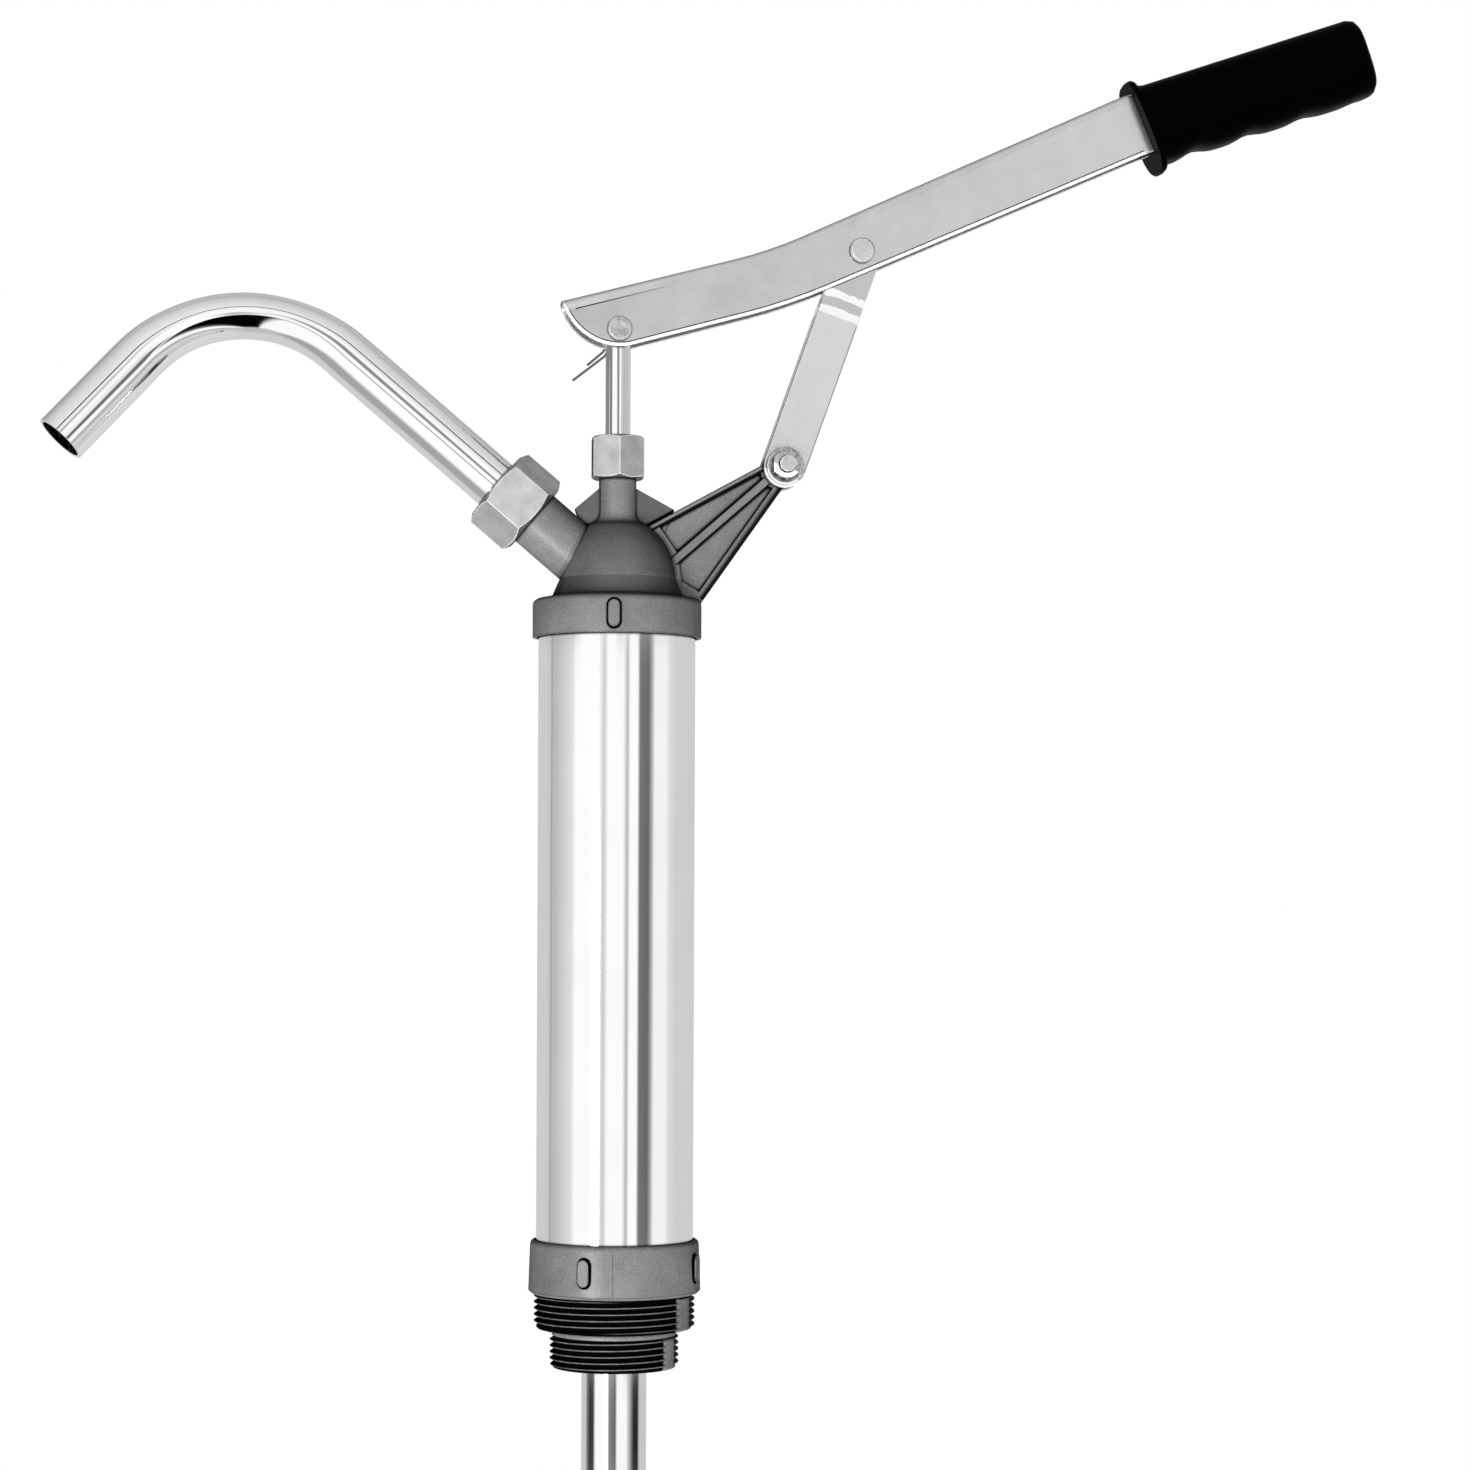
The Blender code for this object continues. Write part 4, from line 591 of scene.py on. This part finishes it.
def edge_mask(tree, radius, sharpness):
    """1 on convex and concave edges within the radius, 0 on open faces."""
    plain = node(tree, "NewGeometry").outputs["Normal"]
    same = dot(tree, rounded(tree, radius), plain)
    return remap(tree, same, 1.0 - sharpness, 1.0, 1.0, 0.0)


def crevice(tree, reach, dark=0.5, clear=0.86):
    """0 in tight corners, 1 on open faces."""
    open_share = node(tree, "AmbientOcclusion", {"Distance": reach}, samples=10).outputs["AO"]
    return remap(tree, open_share, dark, clear)


def grazing(tree, normal, stops):
    """A level of gloss by how far the surface turns away from the eye."""
    turned_away = node(tree, "LayerWeight", {"Blend": 0.5, "Normal": normal}).outputs["Facing"]
    return ramp(tree, turned_away, stops)


def attribute(tree, name):
    return node(tree, "Attribute", attribute_name=name).outputs["Fac"]


def cast_finish(name, dark, light, marks):
    """Satin die casting: fine grain, cloudy tone, painted shade in corners and round edges, painted
    highlights on the sharpest edges and thread crests, and its own marks.
    """
    material, tree, spot = new_finish(name)
    # The marks give painted shade (on the base, the darkened parting seam) and painted shade lines.
    painted_shade_and_seam, painted_shade_lines = marks(tree, spot)
    cloud = noise(tree, spot, 55, 4, 0.6)
    speck = noise(tree, spot, 1900, 3, 0.7)
    corner = crevice(tree, 1.5 * MM, 0.62, 0.93)
    normal = rounded(tree, 0.35 * MM)
    fleck = ramp(tree, speck, [(0.38, 0.7), (0.58, 1.0), (0.78, 1.6)])
    tone = multiply(tree, ramp(tree, cloud, [(0.3, dark), (0.7, light)]), fleck)
    # Painted highlight on the sharpest edges, then painted shade in a wider band round every edge.
    tone = mix(tree, edge_mask(tree, 0.4 * MM, 0.3), tone, grey(light[0] * 2.0))
    tone = multiply(tree, tone, grey(0.25), edge_mask(tree, 0.8 * MM, 0.05))
    # Painted shade over the head's dome, cone and gussets; on the base this darkens the parting seam.
    tone = multiply(tree, tone, grey(0.45), painted_shade_and_seam)
    # Painted shade: near black in tight corners.
    tone = mix(tree, corner, grey(0.0015), tone)
    # On the threads, groove is -1 on a crest and 1 in a root: painted highlights on the crests, painted
    # shade in the roots and along the painted shade lines
    groove = attribute(tree, "groove")
    root = largest(tree, maths(tree, "MULTIPLY", groove, 2.2, clamp=True), painted_shade_lines)
    # Speckled painted highlights on the thread crests
    glint = remap(tree, speck, 0.42, 0.62, -0.3, -1.1)
    crest = maths(tree, "MULTIPLY", groove, glint, clamp=True)
    tone = mix(tree, crest, mix(tree, root, tone, grey(0.002)), grey(0.4))
    rough = remap(tree, cloud, 0.0, 1.0, 0.3, 0.4)
    gloss = multiply(tree, grazing(tree, normal, [(0.05, 1.0), (0.3, 0.3), (0.6, 0.0)]), corner)
    gloss = multiply(tree, gloss, mix(tree, root, grey(1.0), grey(0.0)))
    relief = bumped(tree, speck, 0.2, 0.05 * MM, Normal=normal)
    surface(tree, Base_Color=tone, Roughness=rough, Specular_IOR_Level=gloss, Normal=relief)
    return material


def plated_finish(name, shade, roughness, mottle, marks=None, blotch_size=90, stain_and_shade_level=0.35, edge=1.0):
    """Zinc-plated steel: satin with faint blotches, painted shade in corners, edges painted to the given
    level, and the painted highlights, painted shade and stains from its attributes and marks.
    """
    material, tree, spot = new_finish(name)
    cloud = noise(tree, spot, blotch_size, 5, 0.62)
    speck = noise(tree, spot, 900, 3, 0.6)
    tone = ramp(tree, cloud, [(0.28, shade - mottle), (0.5, shade), (0.72, min(1.0, shade + mottle))])
    # Painted edge light: every edge takes the given level, a painted highlight when it is bright and
    # painted shade when it is dark.
    painted_edge_shading = edge_mask(tree, 0.6 * MM, 0.06)
    tone = mix(tree, painted_edge_shading, tone, grey(edge))
    # Painted highlights: white where the attribute or the marks put them.
    painted_highlight = attribute(tree, "painted_highlight")
    if marks:
        painted_highlights, stains_and_painted_shade = marks(tree, spot)
        painted_highlight = largest(tree, painted_highlight, painted_highlights)
        # Stains and painted shade, both from the marks.
        tone = multiply(tree, tone, grey(stain_and_shade_level), stains_and_painted_shade)
    tone = mix(tree, painted_highlight, tone, grey(1.0))
    # Painted shade line from the mesh attribute.
    tone = mix(tree, attribute(tree, "line"), tone, grey(0.02))
    # Painted shade in corners.
    tone = mix(tree, crevice(tree, 0.8 * MM), grey(0.03), tone)
    rough = remap(tree, cloud, 0.0, 1.0, roughness * 0.75, roughness * 1.3)
    # Painted edges and painted highlights lose their metal, so the lamps light them white.
    metal = maths(tree, "MULTIPLY_ADD", largest(tree, painted_edge_shading, painted_highlight), -0.8, 1.0, clamp=True)
    relief = bumped(tree, speck, 0.15, 0.03 * MM, Normal=rounded(tree, 0.4 * MM))
    surface(tree, Base_Color=tone, Metallic=metal, Roughness=rough, Specular_Tint=grey(0.1), Normal=relief)
    return material


def chrome_finish(name):
    """Bright chromium plate with hair-fine scratches along the tube and painted shade where it enters a
    piece.
    """
    material, tree, spot = new_finish(name)
    along = node(tree, "Mapping", {"Vector": spot, "Scale": (1, 1, 0.02)}).outputs["Vector"]
    haze = noise(tree, spot, 25, 3, 0.5)
    tone = ramp(tree, haze, [(0.3, 0.95), (0.7, 1.0)])
    # Painted shade in corners, where the tube enters a piece.
    tone = mix(tree, crevice(tree, 1.8 * MM, 0.6, 0.8), grey(0.004), tone)
    rough = remap(tree, haze, 0.0, 1.0, 0.03, 0.075)
    relief = bumped(tree, noise(tree, along, 700, 2, 0.5), 0.02, 0.01 * MM)
    surface(tree, Base_Color=tone, Metallic=1.0, Roughness=rough, Normal=relief)
    return material


def grip_finish(name, shade, gloss=0.04):
    """Moulded plastic or rubber with a leathery skin and a faint sheen."""
    material, tree, spot = new_finish(name)
    cloud = noise(tree, spot, 60, 4, 0.6)
    tone = ramp(tree, cloud, [(0.3, shade * 0.7), (0.7, shade * 1.3)])
    rough = remap(tree, cloud, 0.0, 1.0, 0.3, 0.45)
    relief = bumped(tree, noise(tree, spot, 1100, 3, 0.65), 0.12, 0.05 * MM)
    surface(tree, Base_Color=tone, Roughness=rough, Specular_IOR_Level=gloss, Normal=relief)
    return material


CAST_DARK = (0.175, 0.175, 0.178)
CAST_LIGHT = (0.265, 0.265, 0.268)


def build_finishes():
    return {
        "dark_casting": cast_finish("cast_head", CAST_DARK, CAST_LIGHT, head_marks),
        "base_casting": cast_finish("cast_base", CAST_DARK, CAST_LIGHT, base_marks),
        "zinc_steel": plated_finish("zinc_plate", 0.78, 0.3, 0.06),
        # The lever's crease takes painted shade at this nearly black level.
        "lever": plated_finish("zinc_lever", 0.78, 0.3, 0.06, marks=lever_marks, stain_and_shade_level=0.04),
        "nuts": plated_finish("zinc_nut", 0.82, 0.34, 0.14, blotch_size=130),
        "gland": plated_finish("zinc_gland", 0.62, 0.34, 0.12, blotch_size=130),
        "pin": plated_finish("zinc_pin", 0.66, 0.32, 0.3, blotch_size=420),
        "straps": plated_finish("zinc_strap", 0.88, 0.3, 0.05, marks=link_marks),
        "fixings": plated_finish("zinc_worn_painted_highlights", 0.8, 0.32, 0.24, marks=bolt_marks, blotch_size=420),
        # The cotter pin: zinc painted darker all over, with dark edges, as painted shade.
        "wire": plated_finish("zinc_wire", 0.25, 0.3, 0.1, edge=0.12),
        "chrome": chrome_finish("chrome_plate"),
        "black_pvc": grip_finish("grip_pvc", 0.0003, 0.015),
        "seal_rubber": grip_finish("seal_rubber", 0.02),
        "brass": plated_finish("brass_turned", 0.5, 0.3, 0.05),
        "valve_nylon": grip_finish("valve_nylon", 0.6),
    }


# Nodes whose finish isn't named after their material slot
FINISH_OF = {
    "base_casting": "base_casting",
    "spout_nut": "nuts",
    "lever_channel": "lever",
    "link_rivet_near": "nuts",
    "rod_pin": "pin",
    "cotter_pin": "wire",
    "gland_nut": "gland",
    "link_strap_near": "straps",
    "link_strap_far": "straps",
    "bracket_bolt": "fixings",
    "bracket_nut": "fixings",
    "bracket_washer": "fixings",
}


# Pieces over the solids


def piece(name, mesh, node_name, finish):
    """A shown mesh that stands for a CAD node and rides on its body."""
    mesh.materials.clear()
    mesh.materials.append(finish)
    shown = bpy.data.objects.new(name, mesh)
    bpy.context.scene.collection.objects.link(shown)
    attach(shown, frame["nodes"][node_name]["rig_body"])
    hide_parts(node_name)


def soften(work, angle):
    """Smooth shading apart from edges sharper than the angle."""
    for face in work.faces:
        face.smooth = True
    for edge in work.edges:
        edge.smooth = len(edge.link_faces) == 2 and edge.calc_face_angle(0) < angle


def welded(node_name):
    """(a copy of the solid's mesh, the same opened for work with its corners joined)."""
    mesh = frame["nodes"][node_name].data.copy()
    work = bmesh.new()
    work.from_mesh(mesh)
    bmesh.ops.remove_doubles(work, verts=work.verts, dist=WELD)
    return mesh, work


def close(work, mesh):
    work.to_mesh(mesh)
    work.free()


def dressed(name, finish, detail=None):
    """The solid itself with its facets smoothed and its own finish."""
    mesh, work = welded(name)
    if detail:
        detail(work)
    soften(work, SMOOTH_UNDER)
    close(work, mesh)
    piece(name + "_finished", mesh, name, finish)


CHEEK_OUT = 6.2 * MM  # the lever's cheeks lie further from its middle plane
# Widths of the painted highlight ring and the painted shade ring on the lever's cheeks
PAINTED_HIGHLIGHT_RING = 0.3 * MM
PAINTED_SHADE_RING = 0.4 * MM


def coined_edges(work):
    """Painted rings along the lever's cheeks: a painted highlight beside the pressed edge, then a thin
    painted shade line; the pressed edge's own faces take the painted highlight too.
    """
    painted_highlight = work.faces.layers.float.new("painted_highlight")
    line = work.faces.layers.float.new("line")
    coin = set()
    for face in work.faces:
        if 0.3 < abs(face.normal.y) < 0.95 and min(face.normal.x, face.normal.z) < -0.25:
            coin.add(face)
            face[painted_highlight] = 1.0
    flat = {f for f in work.faces if abs(f.normal.y) > 0.99 and abs(f.calc_center_median().y) > CHEEK_OUT}
    inside = [e for e in work.edges if len(e.link_faces) == 2 and all(f in flat for f in e.link_faces)]
    bmesh.ops.dissolve_limit(work, angle_limit=math.radians(0.5), verts=[], edges=inside)
    for side in (-1, 1):
        cheek = []
        for face in work.faces:
            if face.normal.y * side > 0.99 and face.calc_center_median().y * side > CHEEK_OUT:
                cheek.append(face)
        beside = coin
        for width, layer in ((PAINTED_HIGHLIGHT_RING, painted_highlight), (PAINTED_SHADE_RING, line)):
            inset = bmesh.ops.inset_region(
                work, faces=cheek, thickness=width, use_even_offset=True, use_boundary=True
            )
            ring = set()
            for face in inset["faces"]:
                if any(other in beside for edge in face.edges for other in edge.link_faces):
                    face[layer] = 1.0
                    ring.add(face)
            beside = ring


# Drawn tubes

TUBE_SIDES = 192
TUBE_LIP = 0.15 * MM
BARREL_WALL = 1.5 * MM
SUCTION_WALL = 1.2 * MM


def grid_mesh(name, rows, closed_rows=False):
    """A skin over rows of points; every row is a loop of the same count."""
    count = len(rows[0])
    points = [point for row in rows for point in row]
    pairs = list(zip(range(len(rows)), range(1, len(rows))))
    if closed_rows:
        pairs.append((len(rows) - 1, 0))
    faces = []
    for a, b in pairs:
        for i in range(count):
            j = (i + 1) % count
            faces.append((a * count + i, a * count + j, b * count + j, b * count + i))
    mesh = bpy.data.meshes.new(name)
    mesh.from_pydata(points, [], faces)
    return mesh


def finish_mesh(mesh, angle=SMOOTH_UNDER):
    """Outward faces, smooth apart from edges sharper than the angle."""
    work = bmesh.new()
    work.from_mesh(mesh)
    bmesh.ops.recalc_face_normals(work, faces=work.faces)
    soften(work, angle)
    close(work, mesh)
    return mesh


def turns_of(sides):
    return [2 * math.pi * i / sides for i in range(sides)]


def level_row(radius, z, turns):
    return [(radius * math.cos(turn), radius * math.sin(turn), z) for turn in turns]


def tube(name, node_name, wall, finish):
    """A round tube about the barrel's axis, as high and wide as its solid."""
    low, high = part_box(node_name)
    radius = high.x
    profile = [
        (radius, low.z + TUBE_LIP),
        (radius, high.z - TUBE_LIP),
        (radius - TUBE_LIP, high.z),
        (radius - wall, high.z),
        (radius - wall, low.z),
        (radius - TUBE_LIP, low.z),
    ]
    rows = [level_row(r, z, turns_of(TUBE_SIDES)) for r, z in profile]
    piece(name, finish_mesh(grid_mesh(name, rows, closed_rows=True)), node_name, finish)


# Threads on the base

PITCH = 2.309 * MM
THREAD_DEPTH = 1.35 * MM
THREAD_SIDES = 160
THREAD_STEP = 0.17 * MM
THREAD_LEAD = 1.2 * MM
THREAD_RUNOUT = 0.8 * MM
PARTING = math.radians(-34.0)  # middle of the parting flat, from +X
LARGE_THREAD = 29.8 * MM  # radii of the crests
SMALL_THREAD = 23.9 * MM
RELIEF = 23.1 * MM
THREAD_RIM = -13.0 * MM  # where the large thread ends
SHOULDER = -14.0 * MM
SMALL_TOP = SHOULDER - 1.5 * MM
BORE_EDGE = 12.3 * MM
INSIDE_BORE = 12.5 * MM


def thread_depth(turn, z, top, bottom):
    """How far the surface lies under the crest there, from 0 to 1."""
    phase = (z / PITCH - turn / (2 * math.pi)) % 1.0
    groove = (0.5 - 0.5 * math.cos(2 * math.pi * phase)) ** 0.55
    off = abs(math.remainder(turn - PARTING, math.pi))
    flat = min(1.0, max(0.0, (math.radians(10) - off) / math.radians(2)))
    lead = min(1.0, max(0.0, (z - bottom) / THREAD_LEAD))
    runout = min(1.0, max(0.0, (top - z) / THREAD_RUNOUT))
    threaded = groove * (1 - flat) + 0.12 * flat
    return 1 - (1 - threaded) * lead * runout


def thread_rows(radius, top, bottom):
    steps = round((top - bottom) / THREAD_STEP)
    rows = []
    for i in range(steps + 1):
        z = top + (bottom - top) * i / steps
        row = []
        for turn in turns_of(THREAD_SIDES):
            reach = radius - THREAD_DEPTH * thread_depth(turn, z, top, bottom)
            row.append((reach * math.cos(turn), reach * math.sin(turn), z))
        rows.append(row)
    return rows


def thread_painted_light(spot, low):
    """Painted light on the threads: -1 for a painted highlight on a crest, 1 for painted shade in a root,
    -0.5 for a half-strength painted highlight on the neck between the threads, and 0 off the threads and
    on their parting flat.
    """
    reach = math.hypot(spot.x, spot.y)
    if SMALL_TOP <= spot.z < THREAD_RIM - 0.01 * MM and abs(reach - RELIEF) < 0.3 * MM:
        return -0.5
    threaded = THREAD_RIM - 0.01 * MM < spot.z < -0.04 * MM or low < spot.z < SMALL_TOP
    if not threaded or reach <= 20 * MM:
        return 0.0
    off = math.remainder(math.atan2(spot.y, spot.x) - PARTING, math.pi)
    if math.radians(-9) < off < math.radians(30):
        return 0.0
    crest = LARGE_THREAD if spot.z > SHOULDER - 0.1 * MM else SMALL_THREAD
    depth = min(1.0, max(0.0, (crest - reach) / THREAD_DEPTH))
    if depth < 0.25:
        return 4 * depth - 1
    return min(1.0, 4 * (depth - 0.25))


def build_base(finish):
    """The cast base: the solid's collar, and real threads below it."""
    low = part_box("base_casting")[0].z
    turns = turns_of(THREAD_SIDES)
    rows = [level_row(LARGE_THREAD, 0, turns)]
    rows += thread_rows(LARGE_THREAD, -0.05 * MM, THREAD_RIM)
    rows += [level_row(RELIEF, SHOULDER, turns), level_row(RELIEF, SMALL_TOP, turns)]
    rows += thread_rows(SMALL_THREAD, SMALL_TOP, low)
    rows += [level_row(BORE_EDGE, low, turns)]
    threads = grid_mesh("threads", rows)
    mesh, work = welded("base_casting")
    gone = []
    for face in work.faces:
        spot = face.calc_center_median()
        if spot.z < -0.01 * MM and math.hypot(spot.x, spot.y) > INSIDE_BORE:
            gone.append(face)
    bmesh.ops.delete(work, geom=gone, context="FACES")
    work.from_mesh(threads)
    close(work, mesh)
    finish_mesh(mesh, math.radians(45))
    # Painted highlights on the crests and the neck, painted shade in the roots, kept on the mesh for the
    # finish
    groove = mesh.attributes.new("groove", "FLOAT", "POINT")
    for vertex, item in zip(mesh.vertices, groove.data):
        item.value = thread_painted_light(vertex.co, low)
    bpy.data.meshes.remove(threads)
    piece("base_casting_threaded", mesh, "base_casting", finish)


# Spout

SPOUT_RISE = math.radians(40.34)
SPOUT_ROOT = Vector((0, 0, 259.5 * MM))
SPOUT_HEADING = Vector((-math.cos(SPOUT_RISE), 0, math.sin(SPOUT_RISE)))
SPOUT_DOWN = Vector((-math.sin(SPOUT_RISE), 0, -math.cos(SPOUT_RISE)))
SPOUT_START = 52.3 * MM
SPOUT_STRAIGHT = 131.4 * MM
SPOUT_BEND_RADIUS = 54.0 * MM
SPOUT_BEND = math.radians(88.3)
SPOUT_END = 41.0 * MM
SPOUT_RADIUS = 9.5 * MM
SPOUT_WALL = 1.2 * MM
SPOUT_SIDE = math.radians(8.4)  # turn of the bend's plane towards the front
SPOUT_FLAT = 0.12  # share of the depth that the bend loses
SPOUT_STEPS = 150
SPOUT_SIDES = 72


def spout_frames():
    """(place, heading and share of the flattening along the centre line; the bend's axis)."""
    turn_to = SPOUT_DOWN * math.cos(SPOUT_SIDE) + Vector((0, -1, 0)) * math.sin(SPOUT_SIDE)
    corner = SPOUT_ROOT + SPOUT_HEADING * SPOUT_STRAIGHT
    straight = SPOUT_STRAIGHT - SPOUT_START
    half = SPOUT_BEND_RADIUS * SPOUT_BEND / 2
    total = straight + 2 * half + SPOUT_END
    frames = []
    for i in range(SPOUT_STEPS + 1):
        run = total * i / SPOUT_STEPS
        along = run - straight
        turn = min(SPOUT_BEND, max(0.0, along / SPOUT_BEND_RADIUS))
        heading = SPOUT_HEADING * math.cos(turn) + turn_to * math.sin(turn)
        place = corner + SPOUT_HEADING * (SPOUT_BEND_RADIUS * math.sin(turn))
        place += turn_to * (SPOUT_BEND_RADIUS * (1 - math.cos(turn)))
        place += heading * (along - turn * SPOUT_BEND_RADIUS)
        squeeze = math.exp(-(((run - straight - half) / (0.8 * half)) ** 4))
        frames.append((place, heading, squeeze))
    return frames, SPOUT_HEADING.cross(turn_to).normalized()


def build_spout(finish):
    """The bent tube, pressed slightly flat through its bend."""
    frames, side = spout_frames()
    turns = turns_of(SPOUT_SIDES)
    skins = []
    for radius in (SPOUT_RADIUS, SPOUT_RADIUS - SPOUT_WALL):
        rows = []
        for place, heading, squeeze in frames:
            wide = side * radius
            deep = heading.cross(side) * (radius * (1 - SPOUT_FLAT * squeeze))
            rows.append([place + wide * math.cos(t) + deep * math.sin(t) for t in turns])
        skins.append(rows)
    mesh = finish_mesh(grid_mesh("spout_tube_drawn", skins[0] + skins[1][::-1], closed_rows=True))
    piece("spout_tube_drawn", mesh, "spout_tube", finish)


BUILT_APART = {"barrel_tube", "suction_tube_upper", "base_casting", "spout_tube"}
DETAIL_OF = {"lever_channel": coined_edges}


def main():
    bpy.context.scene.view_settings.view_transform = "Standard"
    build_world()
    build_floor()
    finishes = build_finishes()
    for part in frame["record"]["subparts"]:
        SLOT_OF[part["node"]] = part["material_slot"]
    for name in frame["nodes"]:
        if name not in BUILT_APART:
            finish = finishes[FINISH_OF.get(name, SLOT_OF[name])]
            dressed(name, finish, DETAIL_OF.get(name))
    tube("barrel_tube_drawn", "barrel_tube", BARREL_WALL, finishes["chrome"])
    tube("suction_tube_drawn", "suction_tube_upper", SUCTION_WALL, finishes["chrome"])
    build_base(finishes["base_casting"])
    build_spout(finishes["chrome"])
    for lamp in LAMPS:
        build_lamp(*lamp)
    build_camera()


main()
